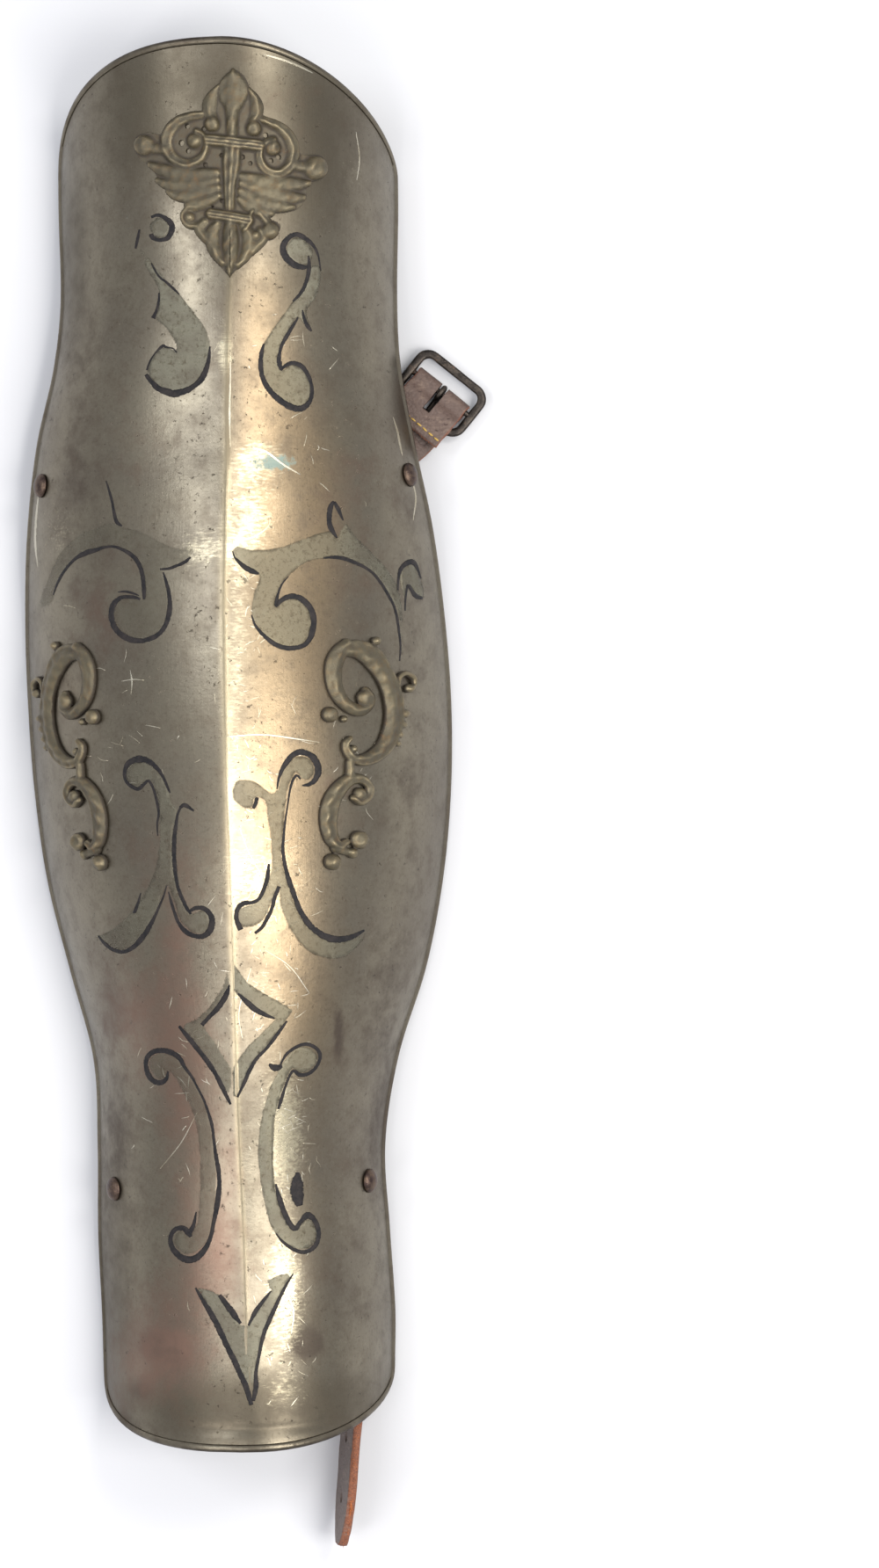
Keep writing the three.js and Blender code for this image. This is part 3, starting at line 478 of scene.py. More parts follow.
outer_points, outer_x, outer_y = flank_points(flank_shares, 0)
inner_points, _, _ = flank_points(inner_shares, -SHEET)
edge_points = on_plate(outline[:, 0], outline[:, 1], -SHEET / 2)
edge_normals = normal(outline[:, 0], outline[:, 1])
edge_line = np.roll(edge_points, -1, 0) - np.roll(edge_points, 1, 0)
outward = np.cross(edge_line, edge_normals)
outward /= np.linalg.norm(outward, axis=1, keepdims=True)
rim_start = math.pi - math.asin(SHEET / 2 / RIM_RADIUS)
rim_turns = np.linspace(rim_start, -rim_start, RIM_STEPS + 1)
rim_points = (
    edge_points[:, None]
    + RIM_RADIUS * np.cos(rim_turns)[None, :, None] * outward[:, None]
    + RIM_RADIUS * np.sin(rim_turns)[None, :, None] * edge_normals[:, None]
)
plate_lines = np.concatenate([outer_points, rim_points, inner_points], axis=1)
print("points on each line:", plate_lines.shape[1])

# %% [markdown]
# ## Where the plate's numbers lie in the frame
# The table's numbers start at the middle of the ankle end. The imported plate's box says where that
# point is, so nothing here is typed twice. With it, points go both ways: from the table to the
# model, and from a pixel of the photograph down the camera's ray to the plate.

# %% Shift to the frame, and pixels to the plate
box_low, box_high = (np.array(corner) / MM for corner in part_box("plate"))
own_points = plate_lines.reshape(-1, 3)
SHIFT = (box_low + box_high) / 2 - (own_points.min(0) + own_points.max(0)) / 2
print("shift from the table to the frame:", SHIFT.round(2), "mm")


def to_model(points):
    """Points of the table's frame, in millimetres, as metres of the model."""
    return (np.asarray(points) + SHIFT) * MM


def plate_at(pixels, lift=0.0, rounds=14):
    """The plate's x and y under what pixels show of a face that stands lift above it."""
    pixels = np.asarray(pixels, float)
    c, s = math.cos(CAMERA_TURN), math.sin(CAMERA_TURN)
    top = np.zeros(pixels.shape[:-1] + (3,)) + (0, 0, 50)
    x, y = top[..., 0], top[..., 1]
    for _ in range(rounds):
        scale = (CAMERA_HEIGHT - top[..., 2] - SHIFT[2]) / FOCAL_PIXELS
        across = (pixels[..., 0] - PHOTO_SIZE[0] / 2) * scale
        up = -(pixels[..., 1] - PHOTO_SIZE[1] / 2) * scale
        x = x + CAMERA_PLACE[0] + across * c - up * s - SHIFT[0] - top[..., 0]
        y = y + CAMERA_PLACE[1] + across * s + up * c - SHIFT[1] - top[..., 1]
        top = on_plate(x, y, lift, worn=False)
    return x, y


def pixel_of(points):
    """The pixel at which the camera sees points of the table's frame."""
    spot = np.asarray(points) + SHIFT
    c, s = math.cos(CAMERA_TURN), math.sin(CAMERA_TURN)
    x, y = spot[..., 0] - CAMERA_PLACE[0], spot[..., 1] - CAMERA_PLACE[1]
    scale = FOCAL_PIXELS / (CAMERA_HEIGHT - spot[..., 2])
    across = (x * c + y * s) * scale
    up = (-x * s + y * c) * scale
    return np.stack([PHOTO_SIZE[0] / 2 + across, PHOTO_SIZE[1] / 2 - up], -1)


# %% [markdown]
# ## Where the metal has changed, and where light is painted
# Tarnish, copper showing through, a painted warm sheen, and scuffs with painted highlights each
# sit in places of their own. The dark spots are stains, and also painted shade under the crest,
# in the groove above the ankle lip and over the left flank; more dark and dull spots darken the
# side edges, the knee end and the ankle lip. Each table row is a soft spot in pixels of the
# photograph: middle, reach both ways and strength. The sums are hung on the plate's points, and
# the material breaks them up with noise.

# %% Tables of stains, painted shade and painted highlights
STAIN_AND_LIGHT_SPOTS = {
    # dark: stains, and painted shade under the crest, along the groove above the ankle lip and over the left flank; the
    # tall thin rows darken the side edges
    "dark": [
        (186, 1532, 28, 20, 1.1), (160, 1582, 18, 14, 0.9), (205, 1560, 24, 30, 0.6), (350, 1528, 18, 16, 1.0),
        (385, 1172, 5, 26, 1.1), (410, 700, 12, 10, 0.4), (350, 430, 8, 8, 0.8), (395, 905, 22, 10, 0.5), (120, 700, 70, 150, 0.35),
        (100, 560, 40, 120, 0.35), (300, 1612, 90, 22, 0.5), (150, 1622, 60, 18, 0.5),
        (370, 1480, 40, 80, 0.3), (90, 330, 26, 150, 0.35), (470, 760, 26, 300, 0.4),
        (440, 1250, 26, 190, 0.35), (132, 1300, 22, 250, 0.35), (380, 1170, 26, 50, 0.25),
        (460, 880, 26, 24, 0.3), (220, 500, 60, 40, 0.2), (160, 140, 60, 60, 0.2),
        (126, 1340, 28, 300, 0.3), (434, 1340, 28, 300, 0.25), (440, 300, 30, 120, 0.2),
        (263, 194, 56, 78, 1.0), (259, 478, 3, 58, 1.2), (230, 300, 14, 30, 0.3), (345, 1540, 30, 60, 0.3),
    ],
    "dull": [
        (300, 120, 130, 80, 0.9), (170, 130, 70, 90, 0.7), (340, 210, 60, 70, 0.7), (330, 320, 40, 60, 0.5),
        (330, 1600, 120, 44, 1.0), (200, 1600, 90, 40, 0.5), (84, 290, 22, 130, 0.9), (128, 1480, 26, 170, 1.0),
        (336, 1500, 40, 40, 0.6), (460, 1400, 24, 240, 0.5), (334, 540, 24, 70, 0.4), (70, 1000, 16, 160, 0.3),
    ],
    "copper": [
        (212, 1210, 40, 80, 0.45), (222, 1320, 42, 90, 0.55), (240, 1425, 40, 60, 0.5),
        (205, 1500, 70, 70, 0.5), (175, 1565, 60, 50, 0.5), (195, 1170, 50, 70, 0.35),
        (150, 1150, 44, 90, 0.35), (206, 1080, 20, 60, 0.4), (265, 1330, 16, 60, 0.25),
        (385, 880, 40, 60, 0.25), (400, 640, 60, 60, 0.25), (390, 540, 50, 60, 0.3),
        (150, 480, 60, 90, 0.2), (330, 110, 60, 60, 0.2), (120, 690, 50, 80, 0.3), (200, 1000, 60, 90, 0.35),
    ],
    # painted warm sheen: golden light on the flank right of the ridge
    "painted_warm_sheen": [
        (330, 700, 60, 200, 0.8), (320, 950, 60, 180, 0.8), (335, 560, 60, 120, 0.7),
        (300, 420, 40, 110, 0.6), (340, 1150, 50, 120, 0.6), (300, 330, 50, 70, 0.3),
        (340, 1400, 50, 120, 0.35), (80, 790, 40, 60, 0.3),
    ],
    # painted highlights on the lit flank right of the ridge, with some scuffs
    "highlight_and_scuffs": [
        (285, 595, 34, 60, 0.7), (296, 520, 36, 26, 0.6), (225, 625, 34, 26, 0.6),
        (272, 720, 16, 80, 0.5), (266, 860, 12, 120, 0.45), (300, 1010, 56, 60, 0.6),
        (322, 1285, 26, 80, 1.0), (325, 1470, 22, 80, 0.9), (322, 1585, 40, 26, 0.35),
        (256, 400, 10, 30, 0.8), (66, 610, 22, 50, 0.4), (46, 420, 16, 100, 0.25),
        (300, 1140, 40, 30, 0.5), (405, 200, 30, 30, 0.3),
    ],
    "green": [
        (312, 526, 30, 12, 0.85), (336, 1330, 12, 8, 0.4), (256, 392, 10, 18, 0.4),
        (150, 245, 14, 40, 0.3), (330, 1440, 14, 26, 0.5),
    ],
}


def stain_and_light_marks(points):
    """Each table's sum of stains and painted light at points of the table's frame."""
    pixels = pixel_of(points)
    marks = {}
    for name, spots in STAIN_AND_LIGHT_SPOTS.items():
        total = np.zeros(len(pixels))
        for at_x, at_y, reach_x, reach_y, strength in spots:
            away = ((pixels[:, 0] - at_x) / reach_x) ** 2 + ((pixels[:, 1] - at_y) / reach_y) ** 2
            total = total + strength * np.exp(-away)
        marks[name] = np.minimum(total, 1)
    return marks


# %% Make the plate
line_count, line_points = plate_lines.shape[:2]
plate_faces = facing_out(own_points, grid_faces(line_count, line_points, close_rows=True))
plate_marks = stain_and_light_marks(own_points)
along_line = np.arange(line_points)
outer_count = len(flank_shares)
# rim marks the rolled bead, where the finish paints a dark line of shade
rim_mark = np.clip(1 - np.abs(along_line - outer_count - RIM_STEPS / 2) / (RIM_STEPS / 2 + 2), 0, 1)
inside_mark = (along_line > outer_count + RIM_STEPS / 2).astype(float)
plate_marks["rim"] = np.tile(rim_mark, line_count)
plate_marks["inside"] = np.tile(inside_mark, line_count)
# a painted highlight along the ridge, as strong as the crease is sharp
ridge_highlight_mark = np.zeros(line_points)
ridge_highlight_mark[: len(flank_shares)] = np.exp(-(flank_shares / 0.02) ** 2)
crease_share = np.clip(np.radians(column("crease", spine_y)) / 0.3, 0, 1)
plate_marks["ridge"] = (crease_share[:, None] * ridge_highlight_mark[None, :]).ravel()
shin_plate = mesh_object("shin_plate", to_model(own_points), plate_faces, plate_marks)
print("plate points:", len(own_points))

# %% [markdown]
# ## Tarnished white metal
# Old nickel silver is neither bright nor grey. A thin brown film lies over it, thin where hands
# and straps have rubbed and thick in the hollows, with copper showing pink where the plating is
# gone. The film is a mix of colours by several sizes of noise, and the same masks set the
# roughness, so the light shows the wear as well as the colour. The colour also holds painted
# light: a painted warm sheen and painted highlights right of the ridge, a painted highlight along
# the ridge, painted shade along the rolled bead, and painted shade under the crest, in the groove
# above the ankle lip and over the left flank.

# %% Metal of the plate
def plate_finish():
    paint = Paint("plate_finish")
    clouds = paint.noise(38, 5.0, 0.6)
    mottle = paint.noise(7, 6.0, 0.65)
    grain = paint.noise(0.9, 4.0, 0.7)
    brushed = paint.noise(0.55, 3.0, 0.6, stretch=(1, 0.03, 1), turn=0.05)
    rubbed = paint.noise(0.7, 3.0, 0.6, stretch=(0.04, 1, 1), turn=-0.2)
    fleck = paint.noise(2.2, 6.0, 0.75)
    speckle = paint.noise(1.1, 5.0, 0.8)
    # dark: stains, and painted shade under the crest, in the groove above the ankle lip and over the left flank, with
    # darker bands down the side edges
    dark = (paint.mark("dark") + (clouds - 0.5) * 0.9 + (mottle - 0.5) * 0.7).step(0.2, 0.95)
    copper = (paint.mark("copper") + (clouds - 0.5) * 0.5 + (mottle - 0.5) * 0.7).step(0.1, 1.0)
    # painted warm sheen: golden light on the flank right of the ridge
    painted_warm_sheen = (paint.mark("painted_warm_sheen") + (mottle - 0.5) * 0.3).step(0.05, 1.0)
    # painted highlights on the lit flank right of the ridge, with some scuffs
    highlight_and_scuffs = (paint.mark("highlight_and_scuffs") + (fleck - 0.5) * 0.9 + (rubbed - 0.5) * 1.2).step(0.3, 1.15)
    green = (paint.mark("green") + (fleck - 0.5) * 1.5).step(0.4, 0.75)
    dull = (paint.mark("dull") + (clouds - 0.5) * 0.4 + (mottle - 0.5) * 0.3).step(0.05, 0.95)
    pits = fleck.step(0.61, 0.68)
    rim = paint.mark("rim")
    ridge = paint.mark("ridge")
    film = paint.blend(clouds.step(0.35, 0.7), tone(126, 119, 104), tone(114, 107, 95))
    film = paint.blend(painted_warm_sheen * 0.8, film, tone(146, 127, 100))
    film = paint.blend(mottle.step(0.42, 0.7) * 0.5, film, tone(98, 89, 77))
    film = paint.blend(speckle.step(0.5, 0.68) * 0.4, film, tone(84, 75, 63))
    film = paint.blend(speckle.step(0.42, 0.3) * 0.4, film, tone(150, 142, 124))
    film = paint.blend(dark * 0.8, film, tone(66, 56, 50))
    film = paint.blend(dull * 0.75, film, tone(88, 81, 69))
    film = paint.blend(copper * 0.7, film, tone(138, 110, 96))
    film = paint.blend(highlight_and_scuffs * 0.7, film, tone(212, 202, 172))
    # painted highlight along the ridge
    film = paint.blend(ridge * 0.5, film, tone(196, 182, 150))
    film = paint.blend(pits * 0.55, film, tone(48, 41, 36))
    film = paint.blend(green * 0.8, film, tone(128, 150, 142))
    # painted shade: a dark line along the rolled bead
    painted_rim_shade = (rim + (mottle - 0.5) * 0.5).step(0.45, 0.95)
    film = paint.blend(painted_rim_shade * 0.85, film, tone(48, 40, 38))
    film = paint.blend(paint.mark("inside") * 0.75, film, tone(66, 57, 48))
    rough = 0.34 + (clouds - 0.5) * 0.16 + (mottle - 0.5) * 0.2 + dark * 0.14 - highlight_and_scuffs * 0.08
    rough = rough + paint.mark("inside") * 0.15 + green * 0.25 + painted_rim_shade * 0.14 + dull * 0.1
    relief = grain * 0.35 + mottle * 0.9 + speckle * 0.3 + brushed * 0.25 + rubbed * 0.25 - pits * 0.6
    return paint.surface(
        Base_Color=film,
        Metallic=1.0 - green * 0.8 - dark * 0.15,
        Roughness=rough,
        Normal=paint.bump(relief, 0.07, 0.9),
    )


finish_piece(shin_plate, plate_finish(), "root", "plate_metal", "plate")

# %% [markdown]
# ## Etched bands and brush outlines
# The ornament is a matt, etched band beside a black line drawn with a brush. Both are films that
# lie on the metal. A stroke is a row of pixels of the photograph with the brush's width at each,
# a smooth curve runs through them, and the strip between its two sides is laid on the plate.

# %% Brush strokes, in pixels of the photograph
STROKES = {
    "upper_curl_left": [
        (172, 247, 3), (180, 244.7, 4), (188, 248, 5), (194, 253.5, 6.5), (195.8, 260, 7),
        (193, 268, 6), (188, 272, 5), (180, 273, 4.5), (173.5, 270, 5.5), (172, 266, 5),
    ],
    "upper_tick_left": [(158.7, 261, 2), (156.6, 271, 3.4), (154, 282.5, 2.4)],
    "upper_stem_left": [
        (172, 299, 1), (174.5, 304, 2.4), (181, 314.5, 2.4), (190, 321.7, 3), (199, 330, 2.6), (204, 335, 1),
    ],
    "upper_leaf_left": [(181, 333, 2), (180.4, 343, 3), (178, 353, 3), (174, 362, 5)],
    "upper_bulb_left": [
        (201, 401, 1.8), (197, 396.5, 1.6), (190, 395, 2.2), (185, 393.5, 3.6), (178, 400, 1.6),
        (171, 410, 2), (167, 421, 2.2),
    ],
    "upper_sweep_left": [
        (166, 426, 4), (171, 433, 5), (179, 441, 7), (188, 445, 7.5), (198, 447.5, 9), (210, 445, 7.5),
        (221.5, 438.5, 6), (230, 430, 7), (235, 418, 5.5), (237.5, 407, 4), (238.7, 394, 1.5),
    ],
    "upper_loop_right": [
        (365, 308, 1), (361.7, 290, 2.4), (356.5, 279.5, 3.6), (348, 271.5, 5), (338, 266.7, 5.4),
        (329, 269.5, 6), (322.7, 278, 7), (322.5, 287, 7.6), (327.5, 295.5, 8), (335.5, 301.5, 7.4),
        (345, 304, 5.4), (351, 303, 3),
    ],
    "upper_stem_right": [
        (351, 291, 2), (351.6, 303, 4.6), (350, 315, 4.4), (346, 326.5, 4.4), (340.8, 335, 3.8), (333, 343, 2),
    ],
    "upper_leaf_right": [(344, 352.5, 1.5), (345.8, 362, 4), (350, 371, 4.6), (354.4, 376.7, 2)],
    "upper_body_right": [
        (339, 361, 2), (332.5, 371.7, 4), (326.5, 382, 4.4), (320.8, 392, 4), (318, 402, 3.8), (317.5, 412, 6), (320.5, 420.5, 5),
    ],
    "upper_bulb_right": [
        (319, 421, 3), (326, 415, 4.6), (335, 413, 5), (343.5, 417, 5), (349.5, 425, 4.6), (353.6, 435, 4),
        (355, 445.5, 4.4), (352.5, 456, 5.2), (346.5, 463, 6.6), (338.5, 465, 7.4), (327, 461, 7.6),
        (315, 452.5, 7), (305, 441.7, 6), (299, 430, 5.6), (296.5, 417, 5.4), (297.3, 403, 5), (300, 391, 2),
    ],
    "spike_left": [
        (120.6, 547, 1.2), (124.2, 558.5, 2.6), (127.6, 571.7, 3), (130, 585, 3.6), (132.8, 594, 4.4), (138.6, 598.6, 2),
    ],
    "band_left": [
        (60.5, 677, 1.2), (65.5, 663.5, 2.6), (71, 653, 3.2), (78, 643.5, 3.2), (86.7, 635, 3.6),
        (96.7, 629.5, 6), (108.3, 625.8, 5), (120, 622.5, 3), (130, 622, 3), (140, 625.6, 3.8),
        (149, 631, 4.8), (156, 638.5, 5), (161, 650, 5), (163.2, 663, 5), (163.7, 674, 4.6), (163.8, 682, 2.4),
    ],
    "hook_left": [(134, 673.6, 1), (142, 673, 2.6), (150, 674.5, 2.6), (158, 677.6, 1.4)],
    "bulb_left": [
        (159.5, 681.6, 2.4), (153, 679.6, 4), (145, 679, 4), (137, 680.2, 4.6), (130.4, 685.5, 6), (126.8, 694, 6.4),
        (126.8, 704, 6.4), (130.5, 714, 6.2), (138, 722, 6.6), (148, 727.5, 6.6), (160, 729.2, 5.6), (171.5, 726.5, 5.6),
        (181.5, 720.6, 5.2), (188.2, 711, 5.4), (192.3, 698.5, 6), (193.2, 685, 5), (191.6, 672, 4.2), (188.4, 660, 3.6), (185.6, 651, 1.4),
    ],
    "leaf_left": [(182, 647.6, 2), (191.7, 646.8, 3.2), (202, 643.2, 3.6), (211, 639, 4), (216.8, 633.8, 2)],
    "spike_right": [
        (380, 570.5, 3), (376.6, 575.5, 5.6), (374.6, 585, 6), (374.8, 595, 6), (377.8, 603.5, 5.4), (383.6, 612, 1.6),
    ],
    "spike_side_right": [(380.4, 571, 3), (384.8, 579.5, 4.6), (390.4, 592, 1.4)],
    "leaf_right": [(264.5, 627, 1), (267, 634, 2.4), (273.5, 641, 4.4), (281, 647, 6), (288.3, 650.4, 6), (294.4, 653, 2.6)],
    "band_right": [
        (368, 635, 1.6), (380, 634, 4), (391.7, 635.6, 4.6), (403.3, 640, 4.2), (415, 645.4, 3.2), (425, 653, 3),
        (433.3, 663.3, 3.2), (441.7, 677, 3.4), (448.3, 690, 3), (451.8, 704, 3), (454, 720, 2.6), (455.6, 735, 2.2), (454.6, 752, 1.4),
    ],
    "hook_right": [(328, 656, 1), (320.5, 665, 2), (316, 677, 3), (313.4, 689, 4.6)],
    "bulb_right": [
        (313.6, 690.6, 3), (318.2, 684.4, 5), (325, 680, 5.8), (333.3, 678.2, 6.4), (342, 681, 6.8), (350, 687.8, 6.8),
        (355.4, 697, 6.8), (356.8, 707, 6.8), (355.6, 717, 6.8), (353, 725.5, 6.2), (348, 732.8, 5.4), (340, 736.4, 5.4),
        (328.5, 737.6, 5.6), (317, 735, 5.4), (306.8, 729, 5), (297, 720, 4), (290.2, 711, 3), (286, 699.5, 1.4),
    ],
    "side_curl_right": [
        (452.6, 671.5, 1.6), (453, 660, 2.6), (455.2, 649, 4.4), (459, 643.6, 5), (464.5, 640, 6.6), (470, 640, 6), (474.6, 646.5, 3.6), (479, 658.5, 1.4),
    ],
    "side_hook_right": [(460.8, 695, 1.4), (461.4, 680, 2.2), (464, 666, 3), (468.3, 672, 4), (473.6, 678.6, 5.4), (481, 680.6, 3)],
    "tendril_top_left": [
        (193.4, 902, 1.6), (190, 894, 3), (185, 883, 3.4), (178.6, 874, 4.6), (170, 866.8, 6.4), (160, 863.6, 8),
        (150.4, 865.6, 7), (144, 871.4, 5.4), (141.7, 880, 4.2), (143.4, 888.6, 3.6), (150, 895, 4), (157.6, 897.6, 4.2),
        (164, 892, 3.6), (169, 888.4, 3), (174, 896, 2.8), (177, 906, 3), (179.2, 916, 3), (180.4, 926, 2.6), (178.8, 938, 2), (179.4, 951, 1),
    ],
    "tendril_hook_left": [(220.4, 922.6, 2.4), (214.6, 918.4, 4), (209.4, 916, 4.8), (204.6, 919, 3)],
    "tendril_stem_left": [
        (206, 917.6, 2.6), (202, 927, 2.8), (200, 940, 4), (198.5, 952, 5), (198, 964, 5), (198.2, 976, 5), (199, 988, 4.6),
        (200.4, 1000, 4.2), (203.2, 1012, 4), (208, 1024, 4), (213, 1034, 4), (217.4, 1040, 2.4),
    ],
    "tendril_curl_left": [
        (214.6, 1037.4, 3), (222, 1033.4, 4.6), (230, 1033, 5), (237.6, 1038, 5.6), (241.4, 1047.6, 7), (238.8, 1058.8, 7),
        (230.4, 1065.4, 6), (220.4, 1064.6, 5.6), (210.4, 1059, 6), (203.2, 1050.2, 4), (198.2, 1037.4, 3.4), (194.4, 1025, 3), (191.6, 1014.6, 1),
    ],
    "tendril_foot_left": [
        (189.6, 1007.4, 1), (186.2, 1019, 2), (181.2, 1031, 2.6), (176.2, 1042.4, 3.2), (169, 1056, 5.6), (160.2, 1069, 6),
        (150.2, 1078.6, 5), (140, 1083, 4.4), (128.2, 1080.4, 4), (119, 1073.4, 3.6), (111.6, 1064.6, 1.4),
    ],
    "tendril_smudge_left": [(160, 1016, 1), (157, 1027, 3), (153.6, 1036.6, 4), (151, 1038, 2)],
    "tendril_top_right": [
        (315, 898, 1.4), (317, 886, 3), (320.6, 876, 4.4), (326, 867.4, 6), (332.4, 859.6, 6.2), (341, 855.6, 7),
        (352, 858.4, 7.2), (359.6, 866.6, 8), (361.8, 878, 7.8), (357.6, 888, 6), (350.6, 892.8, 4.6), (343.6, 893.8, 1.6),
    ],
    "tendril_edge_right": [
        (342, 886.4, 1.6), (337.4, 882.2, 3), (333, 888, 3), (330, 898, 2.6), (328, 910, 2), (326, 924, 2), (324, 938, 2.4),
        (322.6, 952, 3), (321.8, 964, 3.8), (323, 978, 4.2), (326, 992, 5), (330.2, 1006, 6), (336, 1022, 5.6), (342.4, 1038, 6),
        (352, 1052, 7), (362.2, 1061, 7.2), (374, 1067, 8), (386, 1068.8, 7.6), (400, 1066, 6), (414.6, 1058.4, 2.4),
    ],
    "tendril_foot_right": [
        (306, 983, 3), (304, 998, 5), (300, 1012, 4.6), (294.4, 1022.6, 4), (286, 1027, 4.6), (276.6, 1028, 6), (269.8, 1035, 5),
        (269, 1046, 5.4), (274, 1058, 6.4),
    ],
    "tendril_side_right": [(317.6, 1008.6, 4), (312.4, 1021.6, 4.6), (309.2, 1034, 4), (304.2, 1044.4, 4.6), (298, 1055, 4), (290, 1062, 3)],
    "dot_tail_right": [(292.2, 907, 4.6), (290.8, 914, 4.6), (288, 920, 3)],
    "lozenge_top_left": [(261, 1120.6, 1.6), (258, 1130, 6), (253, 1139.6, 6.2), (246.4, 1148.6, 6), (238.2, 1157, 4.6), (229.6, 1166.4, 4.6)],
    "lozenge_low_left": [
        (203.6, 1167.6, 3), (213.6, 1179.6, 5), (225, 1194, 5.4), (236, 1208, 5.8), (246.2, 1224, 5.2), (254.2, 1240, 5), (262.4, 1256.6, 3),
    ],
    "lozenge_top_right": [(270.6, 1130.6, 2.6), (280, 1139.6, 6), (290, 1148.4, 6.4), (300, 1154, 5.2), (312.4, 1159, 1.8)],
    "lozenge_low_right": [
        (326.4, 1161.6, 2), (316, 1176, 4), (304, 1192, 3.6), (292, 1204.6, 4), (284, 1218, 4.8), (277.8, 1232, 4), (270, 1248.4, 2.4),
    ],
    "bracket_left": [
        (191.4, 1219, 2), (188.6, 1228.4, 5), (180.6, 1232, 6), (171.4, 1227, 6), (166.2, 1215, 5.4), (167.2, 1203.6, 5.4),
        (174, 1197, 6), (184, 1195, 6.2), (195, 1197.6, 6.2), (204.2, 1204, 6), (210, 1214, 4), (218, 1225, 3), (225, 1238, 2.6),
        (232, 1252, 2.6), (237, 1266, 3.2), (241, 1280, 3.6), (243.2, 1296, 3.2), (245.2, 1312, 4), (248, 1328, 5), (249.4, 1344, 5),
        (248.4, 1360, 6), (246, 1376, 6), (243, 1391, 4.4), (240, 1406, 4.4), (234, 1420, 6), (224, 1430.6, 8), (212, 1433, 8),
        (202, 1427.4, 7), (195.4, 1418, 6), (194, 1408, 5.2), (199, 1399, 5.4), (208, 1397.6, 6), (214.4, 1403, 6.4), (217, 1407.4, 3.6),
    ],
    "bracket_tick_left": [(223.2, 1379, 1.6), (220.4, 1393, 4.2), (214.8, 1404, 6)],
    "bracket_top_right": [
        (316.6, 1262, 2.6), (320, 1251, 4), (324, 1238, 2.8), (329, 1225, 3), (334, 1218.6, 3.4), (341, 1223, 5), (352, 1221, 4.2),
        (361, 1212, 3.8), (364, 1200, 4.2), (358, 1191.6, 4.2), (346.4, 1188, 4), (332.4, 1194, 3.4), (324, 1202, 3), (317.6, 1214, 1.8),
    ],
    "bracket_low_right": [
        (313.6, 1347, 2), (318, 1364, 6), (323, 1378, 6.2), (329, 1391.6, 6), (336, 1398, 6), (342, 1390, 5), (350.6, 1382.6, 7.6),
        (359.4, 1391, 5.4), (362.6, 1405, 5), (358.4, 1417.6, 5), (346.6, 1424.6, 4.8), (333, 1421, 4.4), (321, 1412.4, 3), (314, 1403.6, 1.4),
    ],
    "rust_spot": [(338.6, 1334, 4), (338, 1344, 13), (337.4, 1354, 15), (338.6, 1363, 14), (341, 1372, 7)],
    "blot_right": [(306, 1211, 3), (313, 1215, 8), (321, 1213, 4)],
    "arrow_left": [
        (222.4, 1465.4, 1.8), (230, 1478.3, 4.4), (239.2, 1493.3, 6.2), (248.3, 1510, 7), (256.7, 1528.3, 6.6), (265.8, 1546.7, 6.6),
        (272.5, 1561.7, 6.4), (280, 1578.3, 6.6), (286, 1598.6, 5),
    ],
    "arrow_right": [
        (333.4, 1449.6, 1.4), (325, 1463.3, 3.2), (316.7, 1480, 4.2), (308.3, 1498.3, 5), (301.7, 1513.3, 5), (297.5, 1528.3, 4),
        (294.2, 1545, 3.6), (291, 1563.3, 4.2), (291.2, 1577, 6), (288, 1594, 4),
    ],
    "arrow_inner_left": [(249.6, 1473.6, 4), (258.3, 1485, 7), (266.7, 1496.7, 7), (273.6, 1506, 3.6)],
    "arrow_inner_right": [(308.4, 1469, 1.8), (298.3, 1481.7, 4.2), (290, 1493.3, 5), (282.6, 1508.4, 2.4)],
}


def smooth_line(points, step, closed=False):
    """A curve through points, each with any further numbers, at about the given step."""
    points = np.asarray(points, float)
    if closed:
        padded = np.concatenate([points[-1:], points, points[:2]])
    else:
        padded = np.concatenate([2 * points[:1] - points[1:2], points, 2 * points[-1:] - points[-2:-1]])
    rows = []
    for a, b, c, d in zip(padded, padded[1:], padded[2:], padded[3:]):
        count = max(2, int(np.linalg.norm(c[:2] - b[:2]) / step))
        t = np.linspace(0, 1, count, endpoint=False)[:, None]
        rows.append(0.5 * (2 * b + (c - a) * t + (2 * a - 5 * b + 4 * c - d) * t**2 + (3 * b - a - 3 * c + d) * t**3))
    if not closed:
        rows.append(points[-1:])
    return np.concatenate(rows)


def line_normals(line):
    along = np.gradient(line[:, :2], axis=0)
    along /= np.linalg.norm(along, axis=1, keepdims=True)
    return np.stack([-along[:, 1], along[:, 0]], 1)


print("brush strokes:", len(STROKES))

# %% Strips of paint
FILM_SINK = -0.04
STROKE_RISE = 0.05


ACROSS = np.array([-1, -0.5, 0, 0.5, 1])


def strips_part(lines, rise):
    """Closed strips as wide as each line's third number, laid on the plate."""
    rows = np.concatenate(lines)
    sides = np.concatenate([line_normals(line) * line[:, 2:3] / 2 for line in lines])
    x, y = plate_at(rows[:, None, :2] + sides[:, None] * ACROSS[None, :, None])
    low = on_plate(x[:, [0, -1]], y[:, [0, -1]], FILM_SINK)
    points = np.concatenate([low[:, :1], on_plate(x, y, rise), low[:, 1:]], 1)
    around = points.shape[1]
    faces, start = [], 0
    for line in lines:
        stop = start + (len(line) - 1) * around
        faces += [[start + corner for corner in face] for face in grid_faces(len(line), around, close_columns=True)]
        faces += [list(range(start, start + around))[::-1], list(range(stop, stop + around))]
        start = stop + around
    points = points.reshape(-1, 3)
    return points, facing_out(points, faces), {"across": np.tile([-1, *ACROSS, 1], len(rows))}


BRUSH_SPREAD = 1.06
stroke_lines = [smooth_line(points, 1.6) * (1, 1, BRUSH_SPREAD) for points in STROKES.values()]
points, faces, marks = strips_part(stroke_lines, STROKE_RISE)
brush_outlines = mesh_object("brush_outlines", to_model(points), faces, marks)


